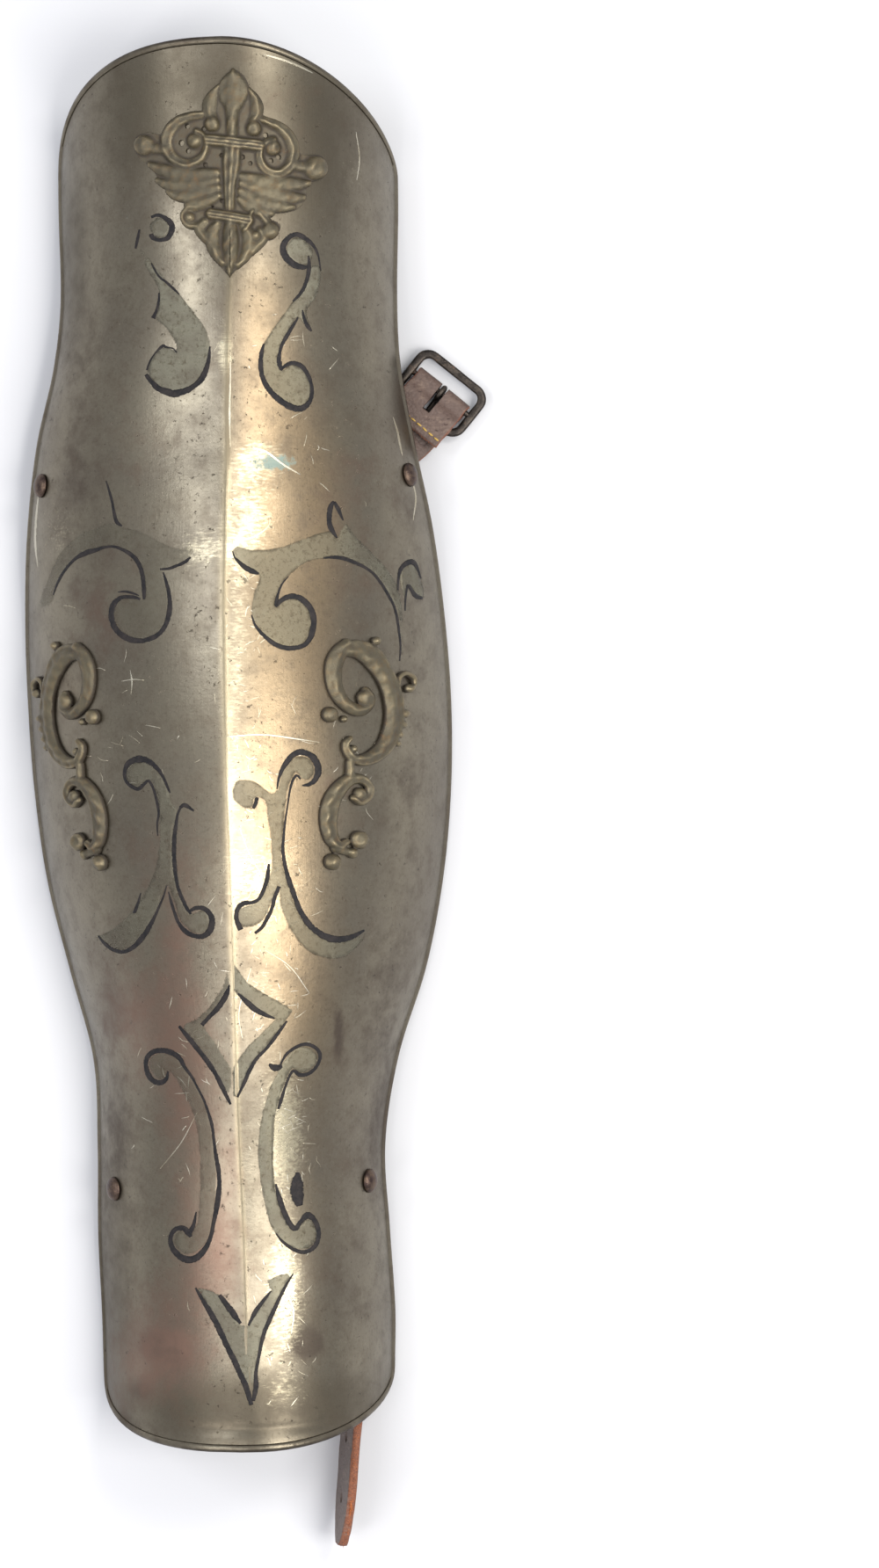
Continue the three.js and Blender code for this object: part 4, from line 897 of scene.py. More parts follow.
def outline_paint():
    paint = Paint("outline_paint")
    grain = paint.noise(0.7, 5.0, 0.75)
    wear = paint.noise(2.6, 4.0, 0.7)
    across = paint.mark("across")
    inside = 1.0 - across * across
    cover = inside * 1.1 + (grain - 0.5) * 1.9 + (wear - 0.5) * 1.6
    ink = paint.blend(wear.step(0.35, 0.7), tone(20, 19, 22), tone(44, 39, 38))
    return paint.surface(
        Base_Color=ink,
        Specular_IOR_Level=0.25,
        Roughness=0.6 + (grain - 0.5) * 0.3,
        Alpha=cover.step(0.0, 0.32),
        Normal=paint.bump(grain, 0.06, 0.7),
    )


finish_piece(brush_outlines, outline_paint(), "root", "plate_metal")

# %% [markdown]
# ## The etched bands
# A band is an outline with rounded or sharp corners, filled with small triangles so that it can
# follow the plate's curve. A constrained Delaunay triangulation keeps the outline's own edges.

# %% Bands, in pixels of the photograph
BANDS = {
    "leaf_pair_left": [
        (158, 283), (168, 292), (178, 304), (190, 319), (204, 333), (222, 356), (235, 376), (240, 398), (237, 420), (226, 437),
        (210, 446), (194, 447), (178, 440), (168, 425), (170, 410), (178, 399), (188, 394), (200, 398), (197, 386), (186, 371),
        (176, 361), (180, 345), (178, 325), (166, 305),
    ],
    "leaf_pair_right": [
        (351, 305), (364, 302), (365, 320), (359, 340), (349, 354), (354, 375), (344, 367), (338, 362), (327, 382), (319, 399),
        (318, 412), (322, 420), (330, 414), (341, 416), (350, 426), (355, 445), (350, 458), (338, 465), (322, 459), (305, 442),
        (297, 420), (297, 400), (303, 384), (316, 365), (332, 344), (345, 328),
    ],
    "loop_right": [(338, 269), (350, 275), (357, 287), (352, 299), (342, 302), (331, 298), (325, 288), (327, 275)],
    "curl_left": [(180, 247), (189, 251), (193, 260), (189, 269), (180, 271), (173, 266), (170, 256)],
    "scroll_left": [
        (44, 690), (52, 664), (62, 640), (76, 620), (92, 606), (110, 600), (127, 594), (138, 599), (155, 603), (172, 610),
        (190, 620), (205, 624), (220, 622), (216, 634), (202, 643), (186, 649), (192, 671), (194, 692), (187, 714), (172, 726),
        (156, 729), (138, 721), (128, 706), (128, 691), (137, 680), (150, 679), (162, 682), (163, 662), (157, 641), (145, 629),
        (130, 622), (110, 625), (90, 633), (76, 646), (66, 664), (58, 688),
    ],
    "scroll_right": [
        (264, 627), (270, 621), (285, 625), (302, 624), (320, 621), (338, 615), (352, 610), (366, 606), (378, 604), (383, 612),
        (392, 594), (402, 606), (414, 619), (428, 633), (442, 648), (452, 666), (458, 690), (459, 720), (457, 750), (453, 706),
        (443, 679), (430, 659), (415, 646), (400, 638), (385, 635), (366, 636), (350, 640), (336, 649), (325, 660), (317, 676),
        (314, 689), (325, 681), (336, 679), (349, 688), (356, 704), (353, 724), (341, 736), (324, 737), (305, 728), (291, 712),
        (285, 696), (288, 675), (294, 655), (280, 648), (268, 635),
    ],
    "side_scroll_right": [(455, 652), (462, 642), (471, 641), (478, 655), (483, 680), (474, 679), (465, 666), (461, 684), (456, 668)],
    "tendril_left": [
        (193, 902), (185, 885), (172, 870), (158, 866), (146, 872), (143, 884), (150, 894), (158, 896), (166, 888), (173, 890),
        (178, 905), (181, 925), (181, 945), (180, 965), (177, 985), (170, 1005), (158, 1025), (143, 1043), (126, 1058), (108, 1066),
        (120, 1075), (140, 1081), (156, 1071), (170, 1052), (181, 1030), (190, 1008), (196, 1022), (204, 1046), (216, 1060),
        (230, 1063), (239, 1053), (238, 1040), (228, 1035), (217, 1039), (206, 1021), (200, 999), (197, 968), (198, 942), (202, 922),
        (196, 912),
    ],
    "tendril_right": [
        (315, 898), (320, 878), (328, 867), (340, 860), (354, 865), (358, 879), (350, 888), (342, 886), (337, 879), (331, 890),
        (327, 905), (325, 925), (323, 945), (321, 965), (323, 985), (330, 1008), (340, 1036), (352, 1054), (372, 1068), (395, 1069),
        (416, 1061), (409, 1075), (396, 1087), (380, 1092), (364, 1089), (349, 1081), (336, 1067), (325, 1049), (318, 1029),
        (317, 1009), (310, 1026), (303, 1043), (294, 1052), (280, 1056), (270, 1051), (269, 1038), (277, 1031), (290, 1027),
        (300, 1015), (305, 1000), (309, 983), (308, 965), (306, 945), (303, 925), (301, 912), (290, 908), (289, 918), (278, 920),
        (267, 912), (264, 900), (269, 889), (281, 886), (293, 890), (302, 897), (309, 901),
    ],
    "bracket_left": [
        (191, 1219), (186, 1227), (177, 1226), (169, 1214), (172, 1202), (184, 1197), (200, 1203), (212, 1217), (226, 1240),
        (238, 1268), (243, 1300), (247, 1335), (246, 1365), (241, 1400), (231, 1420), (214, 1428), (200, 1420), (198, 1406),
        (206, 1400), (214, 1405), (222, 1394), (226, 1370), (227, 1330), (224, 1290), (217, 1262), (206, 1240), (198, 1226),
    ],
    "bracket_right": [
        (333, 1216), (326, 1228), (320, 1245), (315, 1265), (312, 1290), (311, 1320), (313, 1345), (318, 1370), (328, 1393),
        (338, 1396), (350, 1387), (359, 1395), (361, 1408), (352, 1420), (338, 1422), (322, 1414), (310, 1400), (303, 1380),
        (297, 1350), (293, 1320), (294, 1290), (299, 1262), (308, 1235), (318, 1214), (330, 1197), (345, 1190), (358, 1196),
        (361, 1209), (350, 1219), (340, 1221),
    ],
}
SHARP_BANDS = {
    "lozenge_left": [
        (264, 1090), (262, 1106), (262, 1124), (256, 1140), (245, 1152), (231, 1166), (243, 1182), (254, 1200), (264, 1216),
        (264, 1258), (254, 1240), (244, 1223), (232, 1205), (217, 1183), (203, 1166), (222, 1160), (238, 1146), (250, 1128),
        (258, 1108),
    ],
    "lozenge_right": [
        (264, 1090), (271, 1103), (283, 1118), (300, 1130), (318, 1139), (336, 1150), (326, 1162), (316, 1176), (304, 1192),
        (292, 1205), (284, 1219), (276, 1236), (264, 1258), (264, 1216), (272, 1203), (283, 1189), (297, 1175), (312, 1160),
        (298, 1155), (284, 1146), (272, 1134), (262, 1124), (262, 1106),
    ],
    "arrow": [
        (222, 1464), (238, 1467), (250, 1473), (262, 1490), (274, 1507), (281, 1508), (291, 1492), (308, 1468), (300, 1458),
        (318, 1450), (334, 1448), (325, 1464), (310, 1496), (300, 1518), (294, 1545), (290, 1568), (286, 1592), (280, 1578),
        (267, 1552), (254, 1524), (240, 1495), (230, 1478),
    ],
}
BAND_RISE = 0.025
BAND_GRID = 5.0


def inside_outline(points, outline_points):
    """Which points lie inside a closed outline, by counting the edges to one side of each."""
    x, y = points[:, :1], points[:, 1:]
    ax, ay = outline_points[:, 0], outline_points[:, 1]
    bx, by = np.roll(ax, -1), np.roll(ay, -1)
    crosses = (ay > y) != (by > y)
    rise = np.where(by == ay, 1, by - ay)
    meets = x < (bx - ax) * (y - ay) / rise + ax
    return (crosses & meets).sum(1) % 2 == 1


def away_from(points, line):
    return np.linalg.norm(points[:, None] - line[None], axis=2).min(1)


def band_film(line):
    """Points, faces and the distance from the edge of one filled band."""
    low, high = line.min(0), line.max(0)
    xs, ys = np.arange(low[0], high[0], BAND_GRID), np.arange(low[1], high[1], BAND_GRID)
    spots = np.stack(np.meshgrid(xs, ys), -1).reshape(-1, 2)
    spots = spots[inside_outline(spots, line)]
    spots = spots[away_from(spots, line) > BAND_GRID * 0.4] if len(spots) else spots
    pixels = np.concatenate([line, spots])
    count = len(line)
    edges = [(k, (k + 1) % count) for k in range(count)]
    made = delaunay_2d_cdt([Vector(p) for p in pixels.tolist()], edges, [], 0, 1e-4)
    pixels = np.array([tuple(p) for p in made[0]])
    triangles = np.array(made[2])
    triangles = triangles[inside_outline(pixels[triangles].mean(1), line)]
    inside = away_from(pixels, line)
    x, y = plate_at(pixels)
    top, bottom = on_plate(x, y, BAND_RISE), on_plate(x, y, FILM_SINK)
    total = len(pixels)
    sides = {}
    for a, b, c in triangles.tolist():
        for edge in ((a, b), (b, c), (c, a)):
            sides[edge] = True
    border = [edge for edge in sides if (edge[1], edge[0]) not in sides]
    faces = triangles.tolist() + (triangles[:, ::-1] + total).tolist()
    faces += [[b, a, a + total, b + total] for a, b in border]
    points = np.concatenate([top, bottom])
    return points, facing_out(points, faces), {"inset": np.tile(inside, 2)}


def dense_polygon(points, step=3.0):
    """The sides of a sharp outline, with further points along them."""
    points = np.asarray(points, float)
    rows = []
    for a, b in zip(points, np.roll(points, -1, 0)):
        count = max(1, int(np.linalg.norm(b - a) / step))
        rows.append(a + (b - a) * np.linspace(0, 1, count, endpoint=False)[:, None])
    return np.concatenate(rows)


band_lines = [smooth_line(points, 3.0, closed=True) for points in BANDS.values()]
band_lines += [dense_polygon(points) for points in SHARP_BANDS.values()]
FAINT_BANDS = {"scroll_left": 0.35, "tendril_left": 0.6, "tendril_right": 0.75, "scroll_right": 0.8, "bracket_left": 0.5, "lozenge_left": 0.65}
band_parts = [band_film(line) for line in band_lines]
for name, part in zip(list(BANDS) + list(SHARP_BANDS), band_parts):
    part[2]["strength"] = np.full(len(part[0]), FAINT_BANDS.get(name, 1.0))
band_points, band_faces, band_marks = join_parts(band_parts)
band_marks.update(stain_and_light_marks(band_points))
etched_bands = mesh_object("etched_bands", to_model(band_points), band_faces, band_marks)


def band_finish():
    paint = Paint("band_finish")
    grain = paint.noise(0.55, 5.0, 0.8)
    speck = paint.noise(1.5, 6.0, 0.8)
    patch = paint.noise(9, 3.0, 0.6)
    # the plate's painted warm sheen also tints the bands
    painted_warm_sheen = paint.mark("painted_warm_sheen").step(0.1, 0.9)
    # the plate's painted highlights also lighten the bands
    highlight_and_scuffs = (paint.mark("highlight_and_scuffs") + (speck - 0.5)).step(0.3, 0.9)
    grey = paint.blend(patch.step(0.35, 0.65), tone(124, 121, 106), tone(110, 105, 92))
    grey = paint.blend(painted_warm_sheen * 0.6, grey, tone(140, 130, 106))
    grey = paint.blend(highlight_and_scuffs * 0.4, grey, tone(168, 162, 138))
    grey = paint.blend(speck.step(0.48, 0.68) * 0.75, grey, tone(76, 66, 50))
    grey = paint.blend(grain.step(0.52, 0.75) * 0.5, grey, tone(166, 162, 142))
    cover = paint.mark("inset").step(0.0, 3.0) * 0.7 + (speck - 0.5) * 1.5 + (patch - 0.5) * 1.3 + 0.2
    return paint.surface(
        Base_Color=grey,
        Metallic=0.85,
        Roughness=0.5 + (grain - 0.5) * 0.3,
        Alpha=cover.step(0.05, 0.75) * paint.mark("strength") * 0.85,
        Normal=paint.bump(grain + speck * 0.6, 0.12, 0.8),
    )


finish_piece(etched_bands, band_finish(), "root", "plate_metal")

# %% [markdown]
# ## Scratches
# The plate has been scraped and knocked for years. The long scratches are drawn one by one, and
# short ones are scattered in the places that the light picks out. They are slim bright films.

# %% Scratches and scuffs
SCRATCHES = [
    [(258, 838, 1.2), (300, 836, 2), (340, 841, 1.8), (366, 845, 0.8)],
    [(447, 474, 1), (452, 490, 3), (455, 505, 3), (458, 519, 1)], [(468, 543, 1), (473, 566, 2.6), (470, 592, 1)],
    [(44, 560, 1), (41, 590, 3), (40, 618, 3), (43, 645, 1)], [(262, 616, 1), (285, 612, 3), (304, 600, 2), (308, 588, 1)],
    [(285, 508, 1), (303, 514, 3), (322, 528, 3), (342, 540, 1)], [(262, 398, 1), (262, 430, 2), (261, 470, 3), (262, 510, 1)],
    [(148, 762, 0.8), (150, 776, 1.6), (149, 790, 0.8)], [(138, 775, 0.8), (152, 773, 1.4), (164, 774, 0.8)],
    [(300, 62, 1), (322, 68, 3), (340, 75, 3), (356, 83, 1)], [(405, 150, 0.8), (409, 180, 1.8), (406, 205, 0.8)],
    [(272, 940, 0.8), (283, 970, 1.6), (300, 1000, 0.8)], [(300, 1080, 0.8), (330, 1100, 1.6), (352, 1130, 0.8)],
    [(296, 1290, 1), (304, 1330, 2.4), (300, 1360, 1)], [(322, 1466, 1), (334, 1490, 3), (331, 1520, 1)],
    [(182, 1330, 0.8), (206, 1300, 1.2), (224, 1266, 0.8)], [(286, 1100, 0.8), (272, 1150, 1.2), (276, 1184, 0.8)],
]
SCATTERED = [
    (305, 1010, 46, 60, 60), (325, 1290, 26, 70, 70), (325, 1490, 24, 70, 60), (285, 720, 22, 90, 36), (300, 1130, 44, 40, 40),
    (380, 880, 50, 60, 22), (200, 1250, 50, 120, 30), (330, 450, 60, 90, 24), (150, 820, 50, 120, 20), (280, 880, 24, 60, 20),
]


def scattered_lines():
    draws = np.random.default_rng(11)
    for x, y, reach_x, reach_y, count in SCATTERED:
        for _ in range(count):
            middle = np.array([x + draws.normal() * reach_x * 0.6, y + draws.normal() * reach_y * 0.6])
            turn = draws.uniform(0, math.pi)
            half = draws.uniform(2, 9) * np.array([math.cos(turn), math.sin(turn)])
            bend = draws.normal(size=2) * 0.8
            spots = np.stack([middle - half, middle + bend, middle + half])
            yield np.column_stack([spots, (0.3, draws.uniform(0.7, 1.5), 0.3)])


SCRATCH_RISE = 0.015
scratch_lines = [smooth_line(points, 3) for points in SCRATCHES]
scratch_lines += [smooth_line(points, 3) for points in scattered_lines()]
points, faces, marks = strips_part(scratch_lines, SCRATCH_RISE)
bright_scratches = mesh_object("bright_scratches", to_model(points), faces, marks)


def scratch_finish():
    paint = Paint("scratch_finish")
    grain = paint.noise(0.8, 5.0, 0.8)
    patch = paint.noise(12, 3.0, 0.6)
    across = paint.mark("across")
    cover = 1.05 - across * across + (grain - 0.5) * 2.4 + (patch - 0.5)
    return paint.surface(
        Base_Color=paint.blend(patch.step(0.35, 0.65), tone(186, 176, 152), tone(214, 208, 190)),
        Metallic=0.95,
        Roughness=0.34 + (grain - 0.5) * 0.2,
        Alpha=cover.step(0.1, 0.7) * 0.75,
        Normal=paint.bump(grain, 0.05, 0.6),
    )


finish_piece(bright_scratches, scratch_finish(), "root", "plate_metal")

# %% [markdown]
# ## The castings
# The crest and the scrolls are openwork castings, thick leaves and ribbons that run over each
# other. Modelled by hand they would take days, but from above they are only a height: each ribbon
# has a profile across its width, and where two overlap the higher one shows. So a fine grid in
# pixels of the photograph gets a height from every ribbon and ball, is cut along the line where
# the metal ends, and is laid on the plate.

# %% The crest, in pixels: kind, rise, then the line with its width
CREST = [
    ("leaf", 1.25, [(265, 79, 4), (265, 86, 20), (265, 94, 32), (265, 103, 36), (265, 112, 32), (265, 121, 22), (264, 130, 15), (264, 152, 13)]),
    ("leaf", 1.0, [(248, 97, 4), (242, 107, 12), (238, 117, 17), (238, 127, 16), (243, 135, 10)]),
    ("leaf", 1.0, [(284, 101, 4), (290, 111, 11), (293, 121, 15), (292, 130, 14), (287, 138, 10)]),
    ("channel", 1.15, [
        (228, 130, 9), (216, 132, 11), (203, 137, 13), (193, 146, 14), (188, 158, 14), (190, 171, 14), (198, 181, 13),
        (210, 186, 12), (222, 184, 11), (231, 176, 9), (234, 165, 8), (231, 154, 8), (223, 149, 7)]),
    ("channel", 1.15, [
        (300, 136, 9), (313, 141, 11), (325, 149, 13), (333, 161, 14), (335, 174, 14), (331, 187, 14), (322, 195, 12),
        (311, 196, 11), (301, 190, 10), (296, 180, 9), (297, 169, 8), (304, 160, 8), (312, 158, 7)]),
    ("round", 0.9, [(172, 168, 13), (186, 170, 11)]),
    ("round", 0.9, [(350, 190, 13), (336, 188, 11)]),
    ("ribs", 1.5, [(238, 159, 14), (266, 162, 14), (294, 165, 14)]),
    ("flutes", 1.2, [(264, 168, 22), (263, 185, 22), (262, 200, 18), (261, 215, 15), (261, 234, 13)]),
    ("feather", 0.85, [(246, 196, 10), (225, 198, 16), (203, 197, 18), (184, 193, 15), (170, 187, 8)]),
    ("feather", 0.85, [(246, 204, 10), (226, 208, 16), (206, 210, 18), (189, 209, 14), (178, 205, 7)]),
    ("feather", 0.85, [(247, 213, 10), (230, 218, 15), (213, 222, 16), (199, 222, 12), (190, 218, 6)]),
    ("feather", 0.85, [(248, 222, 9), (236, 228, 14), (224, 232, 14), (213, 233, 10)]),
    ("feather", 0.85, [(275, 200, 10), (296, 205, 16), (318, 208, 18), (338, 209, 15), (352, 208, 8)]),
    ("feather", 0.85, [(275, 208, 10), (295, 215, 16), (316, 221, 18), (334, 224, 14), (346, 224, 7)]),
    ("feather", 0.85, [(274, 217, 10), (290, 226, 15), (308, 232, 16), (324, 235, 12), (334, 235, 6)]),
    ("feather", 0.85, [(273, 226, 9), (284, 234, 14), (297, 240, 14), (309, 242, 9)]),
    ("ribs", 1.5, [(240, 243, 13), (260, 246, 13), (282, 250, 13)]),
    ("round", 1.5, [(287, 240, 5), (284, 246, 5), (286, 252, 5), (281, 258, 5), (277, 262, 4)]),
    ("channel", 1.0, [(222, 236, 8), (213, 238, 9), (208, 246, 9), (213, 255, 9), (222, 256, 8)]),
    ("channel", 1.0, [(296, 243, 8), (303, 250, 9), (309, 260, 12)]),
    ("leaf", 1.35, [(262, 252, 14), (262, 265, 18), (262, 280, 20), (262, 295, 16), (261, 306, 9), (261, 313, 3)]),
    ("leaf", 1.1, [(247, 254, 10), (241, 264, 15), (241, 277, 16), (246, 289, 13), (253, 299, 8)]),
    ("leaf", 0.9, [(232, 252, 10), (226, 260, 12), (231, 268, 12), (238, 276, 10)]),
    ("leaf", 1.1, [(276, 256, 10), (283, 266, 15), (284, 279, 16), (279, 291, 13), (271, 301, 8)]),
    ("leaf", 0.9, [(296, 262, 9), (300, 270, 12), (294, 278, 12), (287, 286, 9)]),
]
CREST_BALLS = [
    (241, 141, 9), (289, 146, 9), (221, 160, 9), (311, 168, 9), (163, 165, 12), (360, 191, 14),
    (215, 247, 6), (308, 262, 10), (291, 268, 6),
]
CREST_GROUND = [
    (265, 79), (250, 92), (247, 100), (235, 117), (228, 127), (205, 130), (190, 138), (181, 152), (165, 150), (152, 156),
    (151, 170), (158, 182), (170, 190), (180, 206), (190, 218), (213, 231), (207, 240), (207, 250), (222, 262), (231, 270),
    (238, 290), (250, 303), (261, 313), (272, 303), (288, 288), (300, 276), (316, 266), (320, 255), (305, 244), (338, 238),
    (350, 225), (352, 210), (372, 200), (374, 188), (366, 176), (350, 176), (341, 172), (336, 153), (320, 140), (300, 130),
    (292, 118), (285, 100), (278, 86),
]
CREST_HOLES = [
    (233, 187, 3), (250, 204, 2.6), (212, 143, 3), (231, 146, 3), (252, 176, 3), (285, 140, 2.6), (303, 153, 3), (240, 233, 3),
    (252, 228, 2.6), (310, 200, 3), (276, 178, 3), (285, 185, 2.6), (205, 162, 3.4), (213, 171, 3), (318, 178, 3), (309, 182, 3),
]
print("crest:", len(CREST), "ribbons,", len(CREST_BALLS), "balls")

# %% The scroll of the calf, in the same way
SCROLL = [
    ("channel", 1.2, [
        (396, 738, 17), (408, 738, 21), (420, 743, 24), (430, 752, 25), (438, 764, 22), (445, 778, 21), (450, 794, 22),
        (452, 810, 22), (450, 826, 21), (445, 841, 20), (437, 853, 18), (425, 862, 16), (412, 865, 13), (402, 862, 10),
        (396, 854, 9), (395, 846, 8), (400, 840, 6)]),
    ("leaf", 1.1, [
        (396, 732, 12), (388, 742, 18), (382, 755, 20), (381, 770, 19), (384, 785, 17), (391, 797, 15), (401, 805, 14),
        (412, 808, 14), (420, 803, 13), (423, 794, 12), (418, 786, 10)]),
    ("channel", 1.2, [
        (404, 908, 8), (412, 912, 10), (421, 906, 10), (422, 895, 10), (414, 887, 11), (401, 887, 14), (389, 896, 17),
        (380, 910, 20), (376, 926, 21), (376, 942, 19), (380, 956, 16), (388, 962, 11), (396, 958, 8)]),
    ("round", 1.0, [(455, 778, 4), (457, 770, 5), (464, 766, 6), (472, 771, 6), (473, 779, 5), (468, 784, 6)]),
    ("round", 0.9, [(400, 868, 9), (400, 888, 10)]),
    ("round", 0.8, [(384, 965, 12), (392, 968, 10), (400, 970, 9)]),
]
SCROLL_BALLS = [
    (417, 794, 9), (377, 813, 9), (393, 818, 4), (404, 852, 4.5), (430, 729, 5), (468, 783, 5), (463, 812, 5), (461, 824, 4.5),
    (457, 836, 4), (455, 846, 3.5), (411, 903, 7), (411, 956, 10.5), (403, 971, 6), (380, 981, 9.5),
]
print("scroll:", len(SCROLL), "ribbons,", len(SCROLL_BALLS), "balls")

# %% Profiles, and the height of a whole casting
CAST_STEP = 1.0
CAST_RISE = 1.45
CAST_EDGE = 0.75
VEIN = 17.0


def ribbon_height(spots, kind, line):
    """How far each spot is inside a ribbon, and the ribbon's height there as a share."""
    line = smooth_line(line, 1.2)
    away = np.linalg.norm(spots[:, None] - line[None, :, :2], axis=2)
    nearest = away.argmin(1)
    half = line[nearest, 2] / 2
    side = line_normals(line)[nearest]
    run = np.concatenate([[0], np.cumsum(np.linalg.norm(np.diff(line[:, :2], axis=0), axis=1))])[nearest]
    distance = away[np.arange(len(spots)), nearest]
    offset = ((spots - line[nearest, :2]) * side).sum(1) / half
    q = np.clip(distance / half, 0, 1)
    dome = np.sqrt(1 - q * q)
    fall = np.sqrt(1 - q**4)
    lobes = 0.95 + 0.05 * np.cos(2 * math.pi * (run / VEIN - 0.8 * q * np.sign(offset)))
    profiles = {
        "round": dome,
        "channel": fall * (0.6 + 0.34 * np.exp(-(((offset - 0.3) / 0.4) ** 2)) + 0.12 * (offset < -0.55)) * lobes,
        "leaf": fall * (0.62 + 0.38 * np.exp(-((q / 0.42) ** 2))) * lobes,
        "feather": dome * (0.85 + 0.15 * lobes),
        "ribs": fall * (0.62 + 0.38 * np.abs(np.cos(1.5 * math.pi * offset))),
        "flutes": dome * (0.86 + 0.14 * np.cos(3 * math.pi * offset)),
    }
    return half - distance, profiles[kind]


def melted(first, second, power=4):
    """The higher of two heights, with a soft fillet where they are nearly the same."""
    return (first**power + second**power) ** (1 / power)


def lumps(points, size, seed):
    """A smooth wander from -1 to 1 at each point, as a sum of waves in fixed directions."""
    draws = np.random.default_rng(seed).normal(size=(5, 4))
    waves = [np.sin(points @ (row[:3] / size * 2.2) + row[3] * 3) for row in draws]
    return sum(waves) / 3


def casting_field(ribbons, balls, ground=None, holes=()):
    """Grid of pixels, how far each is inside the casting, and its height in millimetres."""
    widest = np.array([point for _, _, line in ribbons for point in line] + [(x, y, 2 * r) for x, y, r in balls])
    low = widest[:, :2].min(0) - widest[:, 2].max() / 2 - 2
    high = widest[:, :2].max(0) + widest[:, 2].max() / 2 + 2
    xs, ys = np.arange(low[0], high[0], CAST_STEP), np.arange(low[1], high[1], CAST_STEP)
    spots = np.stack(np.meshgrid(xs, ys), -1)
    flat = spots.reshape(-1, 2)
    cover = np.full(len(flat), -99.0)
    rise = np.zeros(len(flat))
    for kind, size, line in ribbons:
        inside, share = ribbon_height(flat, kind, line)
        cover = np.maximum(cover, inside)
        rise = melted(rise, np.where(inside > 0, size * CAST_RISE * share, 0))
    for x, y, radius in balls:
        away = np.hypot(flat[:, 0] - x, flat[:, 1] - y)
        cover = np.maximum(cover, radius - away)
        dome = np.sqrt(np.clip(1 - (away / radius) ** 2, 0, 1))
        rise = melted(rise, (0.7 + 0.09 * radius) * CAST_RISE * dome)
    if ground:
        line = smooth_line(ground, 2, closed=True)
        inside = away_from(flat, line) * np.where(inside_outline(flat, line), 1, -1)
        for x, y, radius in holes:
            inside = np.minimum(inside, np.hypot(flat[:, 0] - x, flat[:, 1] - y) - radius)
        cover = np.maximum(cover, inside)
    uneven = 1 + 0.13 * lumps(np.column_stack([flat, 0 * flat[:, 0]]), 9, 8)
    return spots, cover.reshape(spots.shape[:2]), (rise * uneven).reshape(spots.shape[:2])


def blurred(field, rounds):
    for _ in range(rounds):
        for axis in (0, 1):
            field = (np.roll(field, 1, axis) + field + np.roll(field, -1, axis)) / 3
    return field


# %% From the heights to a closed casting
def casting_part(spots, cover, rise, place):
    """Points, faces and marks of a casting. place gives the plate's x and y under pixels."""
    slope_y, slope_x = np.gradient(cover, CAST_STEP)
    steep = np.maximum(slope_x**2 + slope_y**2, 0.25)
    outside = cover < 0
    back = np.where(outside, -cover / steep, 0)
    spots = spots + np.stack([slope_x * back, slope_y * back], -1)
    lift = CAST_EDGE + np.where(outside, 0, rise) * np.clip(cover / 1.2, 0, 1) ** 0.5
    lift = blurred(lift, 2)
    proud = rise - blurred(rise, 6)
    near = cover > -1.3 * CAST_STEP
    full = near[:-1, :-1] & near[1:, :-1] & near[:-1, 1:] & near[1:, 1:]
    some = ~(outside[:-1, :-1] & outside[1:, :-1] & outside[:-1, 1:] & outside[1:, 1:])
    r, c = np.nonzero(full & some)
    wide = cover.shape[1]
    quads = np.stack([r * wide + c, (r + 1) * wide + c, (r + 1) * wide + c + 1, r * wide + c + 1], 1)
    used, quads = np.unique(quads, return_inverse=True)
    quads = quads.reshape(-1, 4)
    x, y = place(spots.reshape(-1, 2)[used])
    top = on_plate(x, y, lift.ravel()[used])
    bottom = on_plate(x, y, FILM_SINK)
    total = len(used)
    edges = {(a, b) for quad in quads.tolist() for a, b in zip(quad, quad[1:] + quad[:1])}
    faces = quads.tolist() + (quads[:, ::-1] + total).tolist()
    faces += [[b, a, a + total, b + total] for a, b in sorted(edges) if (b, a) not in edges]
    marks = {
        "proud": np.tile(proud.ravel()[used], 2),
        "high": np.concatenate([rise.ravel()[used] / CAST_RISE, np.zeros(total)]),
    }
    points = np.concatenate([top, bottom])
    return points, facing_out(points, faces), marks


TOP_LIFT = 1.6
crest_field = casting_field(CREST, CREST_BALLS, CREST_GROUND, CREST_HOLES)
points, faces, marks = casting_part(*crest_field, lambda spots: plate_at(spots, TOP_LIFT))
crest_casting = mesh_object("crest_casting", to_model(points), faces, marks)
print("crest casting:", len(faces), "faces")

# %% [markdown]
# The two scrolls are one casting and its mirror image. Only the right one faces the camera, so it
# was drawn, and the left one is found by walking: each point goes as far from the ridge on the
# other side, over the face, as the right one is on its own.

# %% Right scroll and its mirror image
LEFT_FURTHER = (0.855 - 0.64) * CALF_WIDTH / 2
LEFT_HIGHER = (0.484 - 0.482) * PLATE_LENGTH


def mirrored(spots):
    x, y = plate_at(spots, TOP_LIFT)
    away = arc_from_ridge(x, y) + LEFT_FURTHER
    y = y + LEFT_HIGHER
    return walk_from_ridge(-away, y), y


scroll_field = casting_field(SCROLL, SCROLL_BALLS)
points, faces, marks = casting_part(*scroll_field, lambda spots: plate_at(spots, TOP_LIFT))
scroll_right_casting = mesh_object("scroll_right_casting", to_model(points), faces, marks)
points, faces, marks = casting_part(*scroll_field, mirrored)
scroll_left_casting = mesh_object("scroll_left_casting", to_model(points), faces, marks)
print("scroll casting:", len(faces), "faces")

# %% [markdown]
# ## Old cast metal
# Dirt and wax fill the grooves of a casting, and fingers keep its tops bright. Each point knows
# how far it stands proud of what is round it, so the finish can put brown in the hollows, gold on
# the tops, and a little verdigris where the damp stayed. The brown in the hollows is also painted
# shade, the darker low ground between the ribbons is painted shade, and the gold on the tops is
# also a painted highlight.

